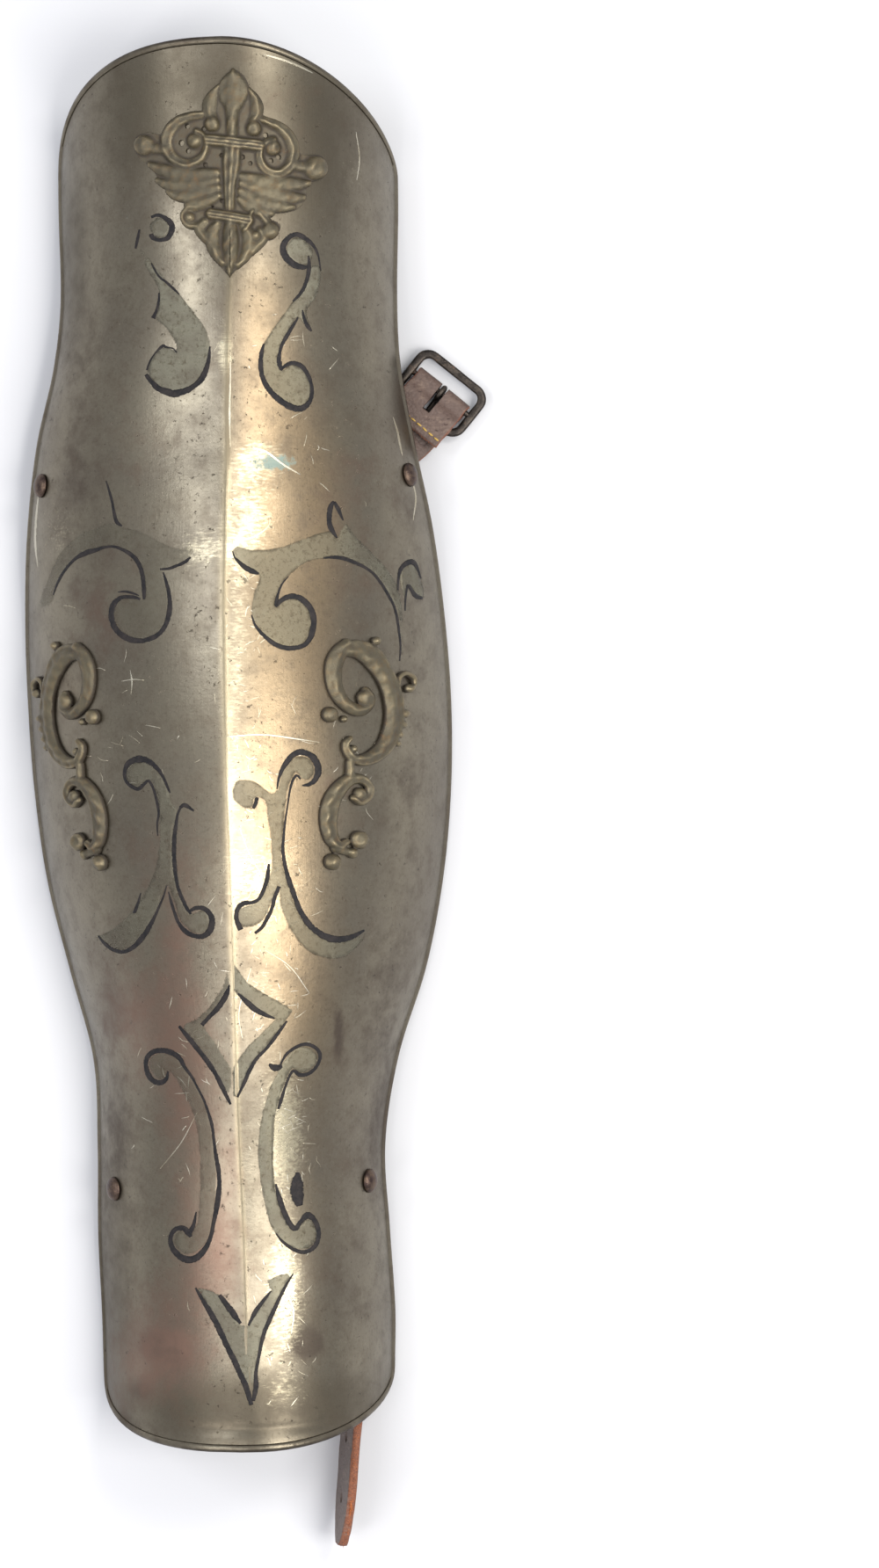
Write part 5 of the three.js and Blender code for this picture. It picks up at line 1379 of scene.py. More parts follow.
# %% Metal of the castings
def cast_finish():
    paint = Paint("cast_finish")
    grain = paint.noise(0.5, 5.0, 0.7)
    mottle = paint.noise(2.4, 5.0, 0.65)
    patch = paint.noise(11, 3.0, 0.5)
    proud = paint.mark("proud")
    high = paint.mark("high")
    # top is partly rubbed tops and partly a painted highlight; deep is dirt and painted shade in the grooves; low is
    # painted shade on the low ground between the ribbons
    top = (proud + (mottle - 0.5) * 0.35).step(0.02, 0.32)
    deep = (proud - (mottle - 0.5) * 0.25).step(0.02, -0.26)
    low = (high - (mottle - 0.5) * 0.3).step(0.35, 0.02)
    metal = paint.blend(patch.step(0.35, 0.65), tone(104, 97, 80), tone(92, 86, 73))
    metal = paint.blend(mottle.step(0.45, 0.75) * 0.6, metal, tone(112, 92, 66))
    # painted highlight on the tops, painted shade on the low ground and in the grooves
    metal = paint.blend(top * 0.5, metal, tone(146, 133, 106))
    metal = paint.blend(low * 0.35, metal, tone(72, 63, 52))
    metal = paint.blend(deep * 0.65, metal, tone(46, 38, 31))
    rust = (patch * 0.6 + mottle * 0.6).step(0.74, 0.9)
    metal = paint.blend(rust * 0.35, metal, tone(132, 94, 62))
    green = (grain * 0.5 + mottle * 0.7).step(0.74, 0.84)
    metal = paint.blend(green * 0.5, metal, tone(128, 150, 138))
    dull = 0.42 + (mottle - 0.5) * 0.3 - top * 0.1 + deep * 0.25
    return paint.surface(
        Base_Color=metal,
        Metallic=0.9 - deep * 0.5 - low * 0.25,
        Roughness=dull + 0.13,
        Normal=paint.bump(grain * 0.6 + mottle, 0.16, 0.8),
    )


cast_material = cast_finish()
finish_piece(crest_casting, cast_material, "root", "cast_metal", "crest")
finish_piece(scroll_right_casting, cast_material, "root", "cast_metal", "scroll_right")
finish_piece(scroll_left_casting, cast_material, "root", "cast_metal", "scroll_left")

# %% [markdown]
# ## Frames at the rivets
# Everything else hangs on four rivets. A rivet's frame is its point on the plate, the plate's
# normal there and the direction up the shin, and the straps start from the same frames.

# %% Rivets on the plate
STRAP_WIDTH = 20
RIVETS = {
    "upper_left": (-1, 0.694, 8.5), "upper_right": (1, 0.697, 8.5),
    "lower_left": (-1, 0.178, 15), "lower_right": (1, 0.18, 12.5),
}
RIVET_HEAD = 7.4
RIVET_RISE = 2.1
RIVET_SHANK = 2.6
STRAP_SEAT = 1
CLEARANCE = 0.35
BILLET_THICKNESS = 3
CHAPE_THICKNESS = 1.5
BOW = 1.5


def unit(vector):
    vector = np.asarray(vector, float)
    return vector / np.linalg.norm(vector, axis=-1, keepdims=True)


def walk_from_hem(side, inset, y, steps=20):
    x = float(edge_at(side, y))
    for _ in range(steps):
        slope = (height(x, y, False) - height(x - side * 0.1, y, False)) / 0.1
        x -= side * inset / steps / math.hypot(1, float(slope))
    return x


rivet_frames = {}
for name, (side, share, inset) in RIVETS.items():
    y = share * PLATE_LENGTH
    x = walk_from_hem(side, inset, y)
    out = normal(x, y, False)
    along = unit(np.array([0, 1, 0]) - out * out[1])
    rivet_frames[name] = {"side": side, "inset": inset, "at": on_plate(x, y, 0, False), "out": out, "along": along}
    print(name, to_model(rivet_frames[name]["at"]).round(4))

# %% [markdown]
# ## What repeats
# The rivets, the stitches and the loose fibres of a torn edge are each one small shape put in
# many places, which is what Geometry Nodes are for. The two trees below are built in the script:
# one sets a rivet on every point of a mesh, the other sets slim grains along lines.

# %% Geometry trees
class Maker(Nodes):
    """A Geometry Nodes tree with named inputs."""

    def __init__(self, name, sizes):
        self.tree = bpy.data.node_groups.new(name, "GeometryNodeTree")
        sockets = self.tree.interface
        sockets.new_socket("Geometry", in_out="INPUT", socket_type="NodeSocketGeometry")
        for label in sizes:
            sockets.new_socket(label, in_out="INPUT", socket_type="NodeSocketFloat")
        sockets.new_socket("Finish", in_out="INPUT", socket_type="NodeSocketMaterial")
        sockets.new_socket("Geometry", in_out="OUTPUT", socket_type="NodeSocketGeometry")
        group = self.tree.nodes.new("NodeGroupInput")
        self.given = {socket.name: Field(self, socket) for socket in group.outputs if socket.name}

    def finish(self, geometry):
        whole = self.node("GeometryNodeRealizeInstances", {}, {"Geometry": geometry})
        painted = self.node("GeometryNodeSetMaterial", {}, {"Geometry": whole, "Material": self.given["Finish"]})
        self.node("NodeGroupOutput", {}, {"Geometry": painted}, output=None)
        return self.tree


def made_by(tree, points, edges, values, vectors=None, name="made"):
    """The plain mesh that a tree makes from points in metres and the edges between them."""
    mesh = bpy.data.meshes.new(name)
    mesh.from_pydata(np.asarray(points).tolist(), edges, [])
    for label, rows in (vectors or {}).items():
        layer = mesh.attributes.new(label, "FLOAT_VECTOR", "POINT")
        layer.data.foreach_set("vector", np.asarray(rows, np.float32).ravel())
    carrier = bpy.data.objects.new(name, mesh)
    scene.collection.objects.link(carrier)
    modifier = carrier.modifiers.new(tree.name, "NODES")
    modifier.node_group = tree
    for socket in tree.interface.items_tree:
        if socket.in_out == "INPUT" and socket.name in values:
            modifier[socket.identifier] = values[socket.name]
    graph = bpy.context.evaluated_depsgraph_get()
    made = bpy.data.meshes.new_from_object(carrier.evaluated_get(graph))
    carrier.modifiers.clear()
    carrier.data = made
    made.shade_smooth()
    return carrier


def rivet_tree():
    maker = Maker("rivet_tree", ("Head", "Rise", "Shank", "Burr"))
    given = maker.given
    out = maker.node("GeometryNodeInputNamedAttribute", {"data_type": "FLOAT_VECTOR"}, {"Name": "out"})
    inward = maker.node("GeometryNodeInputNamedAttribute", {"data_type": "FLOAT_VECTOR"}, {"Name": "inward"})
    turn = maker.node("FunctionNodeAlignRotationToVector", {"axis": "Z"}, {"Vector": out})
    deep = maker.node("ShaderNodeVectorMath", {"operation": "LENGTH"}, {0: inward}, output="Value")
    ball = maker.node("GeometryNodeMeshUVSphere", {}, {"Segments": 32, "Rings": 20, "Radius": given["Head"]})
    z = maker.node("ShaderNodeSeparateXYZ", {}, {0: maker.node("GeometryNodeInputPosition")}, output="Z")
    raised = maker.node("ShaderNodeMath", {"operation": "MAXIMUM"}, {0: z, 1: 0.0}) * given["Rise"] / given["Head"]
    sunk = maker.node("ShaderNodeMath", {"operation": "MINIMUM"}, {0: z, 1: 0.0}) * 0.12
    lower = maker.node("ShaderNodeCombineXYZ", {}, {"Z": raised + sunk - z})
    dome = maker.node("GeometryNodeSetPosition", {}, {"Geometry": ball, "Offset": lower})
    pole = maker.node("GeometryNodeMeshCylinder", {}, {"Vertices": 20, "Radius": given["Shank"], "Depth": 1.0})
    long = maker.node("ShaderNodeCombineXYZ", {}, {"X": 1.0, "Y": 1.0, "Z": deep})
    disc = maker.node("GeometryNodeMeshUVSphere", {}, {"Segments": 24, "Rings": 12, "Radius": given["Burr"]})
    flat = maker.node("GeometryNodeTransform", {}, {"Geometry": disc, "Scale": (1, 1, 0.2)})
    half = maker.node("ShaderNodeVectorMath", {"operation": "SCALE"}, {0: inward, "Scale": 0.5})
    middles = maker.node("GeometryNodeSetPosition", {}, {"Geometry": given["Geometry"], "Offset": half})
    ends = maker.node("GeometryNodeSetPosition", {}, {"Geometry": given["Geometry"], "Offset": inward})
    heads = {"Points": given["Geometry"], "Instance": dome, "Rotation": turn}
    shanks = {"Points": middles, "Instance": pole, "Rotation": turn, "Scale": long}
    burrs = {"Points": ends, "Instance": flat, "Rotation": turn}
    join = maker.tree.nodes.new("GeometryNodeJoinGeometry")
    for values in (heads, shanks, burrs):
        set_out = maker.node("GeometryNodeInstanceOnPoints", {}, values)
        maker.tree.links.new(set_out.socket, join.inputs[0])
    return maker.finish(Field(maker, join.outputs[0]))


def grain_tree():
    maker = Maker("grain_tree", ("Pitch", "Length", "Thickness", "Scatter"))
    given = maker.given
    line = maker.node("GeometryNodeMeshToCurve", {}, {0: given["Geometry"]})
    spaced = maker.tree.nodes.new("GeometryNodeCurveToPoints")
    spaced.mode = "LENGTH"
    maker.tree.links.new(line.socket, spaced.inputs["Curve"])
    maker.tree.links.new(given["Pitch"].socket, spaced.inputs["Length"])
    reach = maker.node("ShaderNodeCombineXYZ", {}, {"X": given["Scatter"], "Y": given["Scatter"], "Z": given["Scatter"]})
    back = maker.node("ShaderNodeVectorMath", {"operation": "SCALE"}, {0: reach, "Scale": -1.0})
    values = {0: back, 1: reach, "Seed": 5}
    lean = maker.node("FunctionNodeRandomValue", {"data_type": "FLOAT_VECTOR"}, values)
    lean = maker.node("FunctionNodeEulerToRotation", {}, {0: lean})
    turn = maker.node("FunctionNodeRotateRotation", {}, {0: Field(maker, spaced.outputs["Rotation"]), 1: lean})
    grain = maker.node("GeometryNodeMeshIcoSphere", {}, {"Radius": 0.5, "Subdivisions": 2})
    size = maker.node("ShaderNodeCombineXYZ", {}, {"X": given["Thickness"], "Y": given["Thickness"], "Z": given["Length"]})
    grain = maker.node("GeometryNodeTransform", {}, {"Geometry": grain, "Scale": size})
    values = {"Points": Field(maker, spaced.outputs["Points"]), "Instance": grain, "Rotation": turn}
    return maker.finish(maker.node("GeometryNodeInstanceOnPoints", {}, values))


GRAINS = grain_tree()
print("trees:", [tree.name for tree in bpy.data.node_groups])

# %% Rivets
def rivet_finish():
    paint = Paint("rivet_finish")
    grain = paint.noise(0.45, 4.0, 0.7)
    patch = paint.noise(2.2, 4.0, 0.6)
    metal = paint.blend(patch.step(0.3, 0.7), tone(62, 50, 48), tone(98, 82, 70))
    metal = paint.blend(grain.step(0.55, 0.75) * 0.5, metal, tone(142, 118, 92))
    return paint.surface(
        Base_Color=metal,
        Metallic=0.85,
        Roughness=0.38 + (patch - 0.5) * 0.35,
        Normal=paint.bump(grain + patch, 0.12, 0.7),
    )


RIVET_STRAPS = {
    "upper_left": BILLET_THICKNESS, "upper_right": CHAPE_THICKNESS,
    "lower_left": CHAPE_THICKNESS, "lower_right": BILLET_THICKNESS,
}
rivet_points, rivet_outs, rivet_inwards = [], [], []
for name, frame_there in rivet_frames.items():
    depth = SHEET + STRAP_SEAT + RIVET_STRAPS[name] + 2 * CLEARANCE + 0.6
    rivet_points.append(to_model(frame_there["at"] + frame_there["out"] * 0.2))
    rivet_outs.append(frame_there["out"])
    rivet_inwards.append(-frame_there["out"] * depth * MM)
sizes = {"Head": RIVET_HEAD / 2 * MM, "Rise": RIVET_RISE * MM, "Shank": RIVET_SHANK / 2 * MM, "Burr": 2.4 * MM}
rivet_material = rivet_finish()
sizes["Finish"] = rivet_material
vectors = {"out": rivet_outs, "inward": rivet_inwards}
strap_rivets = made_by(rivet_tree(), rivet_points, [], sizes, vectors, "strap_rivets")
rivet_nodes = ["rivet_" + name for name in RIVETS]
finish_piece(strap_rivets, rivet_material, "root", "cast_metal", *rivet_nodes)

# %% [markdown]
# ## Straps
# A strap is a flat bar along a line in space. At each station of the line it knows which way its
# width points and how much its edges bow, and its section is a rounded bar. The leather is old
# and uneven, so the edge wavers a little and the faces are not quite flat.

# %% Stations along a strap
def through_knots(knots, count):
    """Stations on a centripetal curve through knots, as even steps from knot to knot."""
    knots = np.asarray(knots, float)
    last = len(knots) - 1
    rows = []
    for place in np.linspace(0, last, count + 1):
        i = min(int(place), last - 1)
        w = place - i
        b, c = knots[i], knots[i + 1]
        a = knots[i - 1] if i > 0 else 2 * knots[0] - knots[1]
        d = knots[i + 2] if i + 2 <= last else 2 * knots[last] - knots[last - 1]
        gaps = [float(((q - p) ** 2).sum()) ** 0.25 for p, q in ((a, b), (b, c), (c, d))]
        middle = gaps[1] if gaps[1] > 1e-4 else 1.0
        before, after = (gap if gap > 1e-4 else middle for gap in (gaps[0], gaps[2]))
        start = ((b - a) / before - (c - a) / (before + middle) + (c - b) / middle) * middle
        stop = ((c - b) / middle - (d - b) / (middle + after) + (d - c) / after) * middle
        rows.append(
            b + start * w + (3 * (c - b) - 2 * start - stop) * w**2 + (2 * (b - c) + start + stop) * w**3
        )
    return np.array(rows)


def stations_through(knots, count):
    """Middles, directions across and bows, from knots of (at, across, bow)."""
    at = through_knots([knot[0] for knot in knots], count)
    across = through_knots([knot[1] for knot in knots], count)
    bow = through_knots([(knot[2], 0, 0) for knot in knots], count)[:, 0]
    return at, across, bow


def root_knots(rivet, towards, thickness, ahead, rise):
    """A strap's first knots, flat against the inside of the wall."""
    seat = SHEET + STRAP_SEAT + thickness / 2
    along = rivet["along"] * towards
    across = unit(np.cross(along, rivet["out"]))
    middle = rivet["at"] - rivet["out"] * seat + across * np.sign(across[2]) * rise
    return [(middle + along * run, across, BOW) for run in (-STRAP_TAIL, 0, ahead)]


STRAP_TAIL = 8
STRAP_COLUMNS = 27
EDGE_STEPS = 5


def strap_section():
    """The section's places across, from -1 to 1, and its heights, from -1 to 1, going round."""
    turns = np.linspace(-math.pi / 2, math.pi / 2, EDGE_STEPS + 2)[1:-1]
    across = np.linspace(-1, 1, STRAP_COLUMNS)
    low = np.full(STRAP_COLUMNS, -1.0)
    right = [(1, 0.45 * math.cos(turn), math.sin(turn)) for turn in turns]
    left = [(-1, -0.45 * math.cos(turn), -math.sin(turn)) for turn in turns]
    rows = [(s, 0, -1) for s in across] + right + [(s, 0, 1) for s in across[::-1]] + left
    return np.array(rows)


def strap_part(at, across, bow, half, thickness, ragged=0.0, seed=1):
    """A closed strap along stations. ragged is how far its torn edges waver, in millimetres."""
    along = unit(np.gradient(at, axis=0))
    side = unit(across - along * (across * along).sum(1, keepdims=True))
    up = unit(np.cross(side, along))
    section = strap_section()
    s, bulge, level = section[:, 0], section[:, 1], section[:, 2]
    count, around = len(at), len(section)
    half = np.broadcast_to(half, count)
    edge = half[:, None] - 0.35 * thickness
    reach = s[None] * edge + bulge[None] * thickness * 0.75
    lift = level[None] * thickness / 2 - bow[:, None] * s[None] ** 2
    flat = (at[:, None] + side[:, None] * reach[..., None] + up[:, None] * lift[..., None]).reshape(-1, 3)
    torn = np.minimum(lumps(flat, 2.2, seed + 2) + lumps(flat, 7, seed + 3), 0) * ragged
    outward = (side[:, None] * (np.sign(s) * (np.abs(s) > 0.9))[None, :, None]).reshape(-1, 3)
    flat = flat + outward * torn[:, None]
    wander = lumps(flat, 14, seed) * 0.12 + lumps(flat, 4, seed + 1) * 0.05
    flat = flat - (up[:, None] * np.sign(level)[None, :, None]).reshape(-1, 3) * (0.17 + wander)[:, None]
    faces = grid_faces(count, around, close_columns=True)
    base = (count - 1) * around
    faces += [list(range(around))[::-1], list(range(base, base + around))]
    rim = np.tile((np.abs(bulge) > 0.05).astype(float), count)
    ends = np.repeat(((np.arange(count) == 0) | (np.arange(count) == count - 1)).astype(float), around)
    run = np.repeat(np.linspace(0, 1, count), around)
    marks = {"raw": np.maximum(rim, ends * 0.6), "side": np.tile(s, count), "run": run, "face": np.tile(level, count)}
    return flat, facing_out(flat, faces), marks


print("strap section:", len(strap_section()), "points")

# %% [markdown]
# ## Cutting holes
# The holes for the tongue go right through, so they are cut with an exact boolean. The cutters
# are plain bars that are thrown away once the cut is made.

# %% Cut with bars
def cut_with(piece, cutters, layered=False):
    for cutter in cutters:
        modifier = piece.modifiers.new("cut", "BOOLEAN")
        modifier.operation = "DIFFERENCE"
        modifier.solver = "EXACT"
        modifier.use_self = layered
        modifier.object = cutter
    graph = bpy.context.evaluated_depsgraph_get()
    made = bpy.data.meshes.new_from_object(piece.evaluated_get(graph))
    piece.modifiers.clear()
    piece.data = made
    made.shade_smooth()
    for cutter in cutters:
        bpy.data.objects.remove(cutter, do_unlink=True)


def bar_part(middle, axes, halves):
    """A block from its middle, three axes and three half sizes."""
    corners = [(a, b, c) for a in (-1, 1) for b in (-1, 1) for c in (-1, 1)]
    points = [middle + sum(k * h * axis for k, h, axis in zip(corner, halves, axes)) for corner in corners]
    faces = [[0, 1, 3, 2], [4, 6, 7, 5], [0, 4, 5, 1], [2, 3, 7, 6], [0, 2, 6, 4], [1, 5, 7, 3]]
    return np.array(points), facing_out(points, faces), {}


def tube_part(path, radii, sides=16, closed=False):
    """A round bar along a path, with closed ends unless the path is closed."""
    path = np.asarray(path, float)
    radii = np.broadcast_to(np.asarray(radii, float), len(path))
    if closed:
        along = unit(np.roll(path, -1, 0) - np.roll(path, 1, 0))
    else:
        along = unit(np.gradient(path, axis=0))
    across = np.zeros_like(path)
    across[0] = unit(np.cross(along[0], unit(np.array([0.31, 0.52, 0.79]))))
    for k in range(1, len(path)):
        across[k] = unit(across[k - 1] - along[k] * (across[k - 1] @ along[k]))
    up = np.cross(along, across)
    turns = np.linspace(0, 2 * math.pi, sides, endpoint=False)
    ring = np.cos(turns)[None, :, None] * across[:, None] + np.sin(turns)[None, :, None] * up[:, None]
    points = (path[:, None] + ring * radii[:, None, None]).reshape(-1, 3)
    faces = grid_faces(len(path), sides, close_rows=closed, close_columns=True)
    if not closed:
        last = (len(path) - 1) * sides
        faces += [list(range(sides))[::-1], list(range(last, last + sides))]
    return points, facing_out(points, faces), {}


def bore(at, out, radius, deep):
    points, faces, _ = tube_part([at - out * deep, at, at + out * deep], radius)
    return mesh_object("bore", to_model(points), faces)


print("cutters ready")

# %% [markdown]
# ## Leather
# Both straps are one kind of leather: a red-brown grain side, dark in the creases and rubbed pale
# at the bends, and raw edges where the orange of the hide shows. The grain is small cells with
# a fine wrinkle across the strap.

# %% Leather finish
def strap_finish(name, grain_side, worn_side, cut_dark, cut_light):
    paint = Paint(name)
    cells = paint.cells(0.9)
    fine = paint.noise(0.35, 4.0, 0.7)
    patch = paint.noise(6, 4.0, 0.6)
    crease = paint.noise(3.2, 4.0, 0.7, stretch=(1, 2.6, 1), turn=0.6)
    raw = (paint.mark("raw") + (fine - 0.5) * 0.5).step(0.25, 0.8)
    worn = (patch + (crease - 0.5) * 0.8).step(0.5, 0.85)
    cracks = crease.step(0.36, 0.3)
    hide = paint.blend(worn, grain_side, worn_side)
    hide = paint.blend(cells.step(0.55, 0.9) * 0.35, hide, tone(46, 27, 22))
    hide = paint.blend(cracks * 0.6, hide, tone(38, 22, 18))
    cut = paint.blend(fine.step(0.35, 0.7), cut_dark, cut_light)
    cut = paint.blend((patch + (crease - 0.5) * 0.7).step(0.5, 0.75) * 0.6, cut, worn_side)
    hide = paint.blend(raw * 0.85, hide, cut)
    relief = fine * 0.35 - cells * 0.5 - cracks * 0.5 + patch * 0.3
    return paint.surface(
        Base_Color=hide,
        Roughness=0.56 + (patch - 0.5) * 0.25 + raw * 0.25,
        Normal=paint.bump(relief, 0.28, 0.85),
    )


upper_leather = strap_finish(
    "upper_leather", tone(88, 70, 62), tone(120, 101, 88), tone(92, 52, 40), tone(140, 92, 70)
)
lower_leather = strap_finish(
    "lower_leather", tone(98, 84, 78), tone(130, 114, 104), tone(96, 50, 34), tone(158, 98, 64)
)
print("leathers:", upper_leather.name, lower_leather.name)

# %% [markdown]
# ## The billets
# A billet is the strap's free end, with its holes and its point. The lower one stands out below
# the ankle on its edge, and the upper one lies behind the plate.

# %% Billets
FLOOR = -1.4
FLOOR_GAP = 0.15
BILLET_POINT = 11
HOLE_RADIUS = 1.7
HOLE_SPACING = 19
LAST_HOLE = 0.75


def billet(name, rivet, length, lean, leather, node, tilt=0.0):
    rise = max(0, STRAP_WIDTH / 2 + 1.4 + STRAP_SEAT - rivet["inset"])
    knots = root_knots(rivet, -1, BILLET_THICKNESS, STRAP_TAIL, rise)
    middle, across = knots[1][0], knots[1][1]
    upright = unit((tilt, 0, rivet["side"]))
    rest = FLOOR + FLOOR_GAP + STRAP_WIDTH / 2
    for share, inward in lean:
        settled = np.clip(share / 0.5, 0, 1)
        settled = settled * settled * (3 - 2 * settled)
        spot = (middle[0] - rivet["side"] * inward, middle[1] - share * length, middle[2] + (rest - middle[2]) * settled)
        knots.append((np.array(spot), unit(across + (upright - across) * settled), BOW * (1 - settled)))
    at, across, bow = stations_through(knots, 110)
    whole = length + STRAP_TAIL
    left = np.clip((1 - np.linspace(0, 1, len(at))) * whole / BILLET_POINT, 0, 1)
    half = STRAP_WIDTH / 2 * (0.3 + 0.7 * np.sin(left * math.pi / 2) ** 0.8)
    points, faces, marks = strap_part(at, across, bow, half, BILLET_THICKNESS, 0.7, len(name))
    piece = mesh_object(name, to_model(points), faces, marks)
    end = at[-1]
    inward = unit(at[-8] - end)
    out = unit(np.cross(inward, (0, 0, 1)))
    spots = [end + inward * (k + LAST_HOLE) * HOLE_SPACING for k in range(4)]
    cut_with(piece, [bore(spot, out, HOLE_RADIUS, 8) for spot in spots])
    finish_piece(piece, leather, "root", "strap_leather", node)
    return at, across, half


LOWER_LEAN = ((0.25, 1), (0.5, 2.5), (0.75, 4.5), (1, 7.5))
UPPER_LEAN = ((0.25, 2), (0.5, 5), (0.75, 10), (1, 16))
LOWER_TILT = 0.22
lower_line = billet(
    "lower_strap_end", rivet_frames["lower_right"], 113, LOWER_LEAN, lower_leather, "lower_billet", LOWER_TILT
)
upper_line = billet("upper_strap_end", rivet_frames["upper_left"], 150, UPPER_LEAN, upper_leather, "upper_billet")

# %% [markdown]
# ## The buckle ends
# The other end of each strap holds the buckle. One strip of thinner leather runs over the near
# bar, under and round the centre bar, and back on itself as a flap that is stitched down. A slot
# lets the tongue turn on the centre bar.

# %% Frames of the two buckles
BUCKLE_BAR = 2.8
BUCKLE_THICKNESS = 2.2
BUCKLE_REACH = 8
BUCKLE_PLAY = 0.5
PIN_RADIUS = 0.9
PRONG_RADIUS = 0.85
TONGUE_GAP = 0.2
FLAP_LENGTH = 14.5


def buckle_frame(at, across, along):
    side = unit(across)
    ahead = unit(along - side * (along @ side))
    return {"at": at, "across": side, "along": ahead, "up": np.cross(side, ahead)}


def in_frame(buckle, a, s, n):
    return buckle["at"] + buckle["across"] * a + buckle["along"] * s + buckle["up"] * n


tongue_room = 2 * PRONG_RADIUS + CLEARANCE + TONGUE_GAP
upper_at = rivet_frames["upper_right"]["at"] + (10.2, 26.5, 0)
upper_at[2] = FLOOR + FLOOR_GAP + tongue_room + PIN_RADIUS
lower_at = rivet_frames["lower_left"]["at"] + (17.5, -40, 0)
lower_at[2] = FLOOR + FLOOR_GAP + STRAP_WIDTH / 2 + BUCKLE_PLAY + BUCKLE_BAR
buckles = {
    "upper": buckle_frame(upper_at, np.array([0.77, -0.64, 0]), np.array([0.64, 0.77, 0])),
    "lower": buckle_frame(lower_at, np.array([0, 0, -1.0]), np.array([0.12, -1, 0])),
}
for name, buckle in buckles.items():
    print(name, "buckle at", to_model(buckle["at"]).round(4))

# %% Buckle ends of leather
def beside_buckle(buckle, step, across, bow):
    a, s, n = (STRAP_WIDTH * value for value in step)
    return in_frame(buckle, a, s - BUCKLE_REACH, n), unit(across), bow


def buckle_end(name, rivet, towards, between, buckle, leather, node):
    layer = CHAPE_THICKNESS / 2
    wrap = PIN_RADIUS + CLEARANCE + layer
    over = BUCKLE_THICKNESS / 2 + 2 * CLEARANCE + layer
    near_bar = -BUCKLE_REACH
    knots = root_knots(rivet, towards, CHAPE_THICKNESS, STRAP_TAIL / 4, 1) + between
    knots += [(in_frame(buckle, 0, near_bar + step, over), buckle["across"], 0) for step in (-1.4, 1.68)]
    at, across, bow = stations_through(knots, 70)
    turns = np.radians(np.arange(-120, 91, 15))
    flap = over + CHAPE_THICKNESS + CLEARANCE
    loop = [(-2 * wrap, 0.35 * wrap), (-1.3 * wrap, -0.5 * wrap)]
    loop += [(wrap * math.cos(turn), wrap * math.sin(turn)) for turn in turns]
    loop += [(-1.4 * wrap, 1.25 * wrap), (near_bar + BUCKLE_BAR, flap), (near_bar - 1.4, flap - 0.1)]
    loop += [(-12, flap - 0.15), (-FLAP_LENGTH, flap - TONGUE_GAP)]
    round_bar = smooth_line([(near_bar + 1.68, over)] + loop, 0.7)[1:]
    more = np.array([in_frame(buckle, 0, s, n) for s, n in round_bar])
    at = np.concatenate([at, more])
    across = np.concatenate([across, np.tile(buckle["across"], (len(more), 1))])
    bow = np.concatenate([bow, np.zeros(len(more))])
    half = STRAP_WIDTH / 2 * (1 - 0.03 * (1 + np.sin(np.arange(len(at)) * 0.37)) / 2)
    points, faces, marks = strap_part(at, across, bow, half, CHAPE_THICKNESS, seed=len(name))
    piece = mesh_object(name, to_model(points), faces, marks)
    back, front = near_bar + 0.6, 2 * wrap
    axes = (buckle["across"], buckle["along"], buckle["up"])
    middle = in_frame(buckle, 0, (front + back) / 2, 0)
    points, faces, _ = bar_part(middle, axes, (1.35, (front - back) / 2, 3 * wrap))
    cut_with(piece, [mesh_object("slot", to_model(points), faces)], layered=True)
    finish_piece(piece, leather, "root", "strap_leather", node)


upper_between = [
    (rivet_frames["upper_right"]["at"] + STRAP_WIDTH * np.array([-0.29, 0.375, -0.225]), np.array([0.5, -0.2, -0.84]), 1.2),
    beside_buckle(buckles["upper"], (-0.05, -0.375, 0.09), (0.77, -0.6, -0.2), 0.2),
]
lower_between = [beside_buckle(buckles["lower"], (0, -0.45, 0.16), (0, 0, -1), 0.3)]
buckle_end("upper_buckle_strap", rivet_frames["upper_right"], 1, upper_between, buckles["upper"], upper_leather, "upper_chape")
buckle_end("lower_buckle_strap", rivet_frames["lower_left"], -1, lower_between, buckles["lower"], lower_leather, "lower_chape")

# %% [markdown]
# ## Buckles
# A centre-bar buckle is a forged frame with a pin across its middle, and a tongue that turns on
# the pin. The frame is a rounded bar swept round a rounded rectangle, a little uneven from the
# hammer, and the tongue is a wire bent to a loop and drawn thin.

# %% Buckle frames and tongues
def rounded_rectangle(half_wide, half_long, corner, steps=10):
    spots, outs = [], []
    for quarter, (sx, sy) in enumerate(((1, 1), (-1, 1), (-1, -1), (1, -1))):
        for turn in np.linspace(0, math.pi / 2, steps) + quarter * math.pi / 2:
            out = (math.cos(turn), math.sin(turn))
            spots.append((sx * (half_wide - corner) + corner * out[0], sy * (half_long - corner) + corner * out[1]))
            outs.append(out)
    return np.array(spots), np.array(outs)


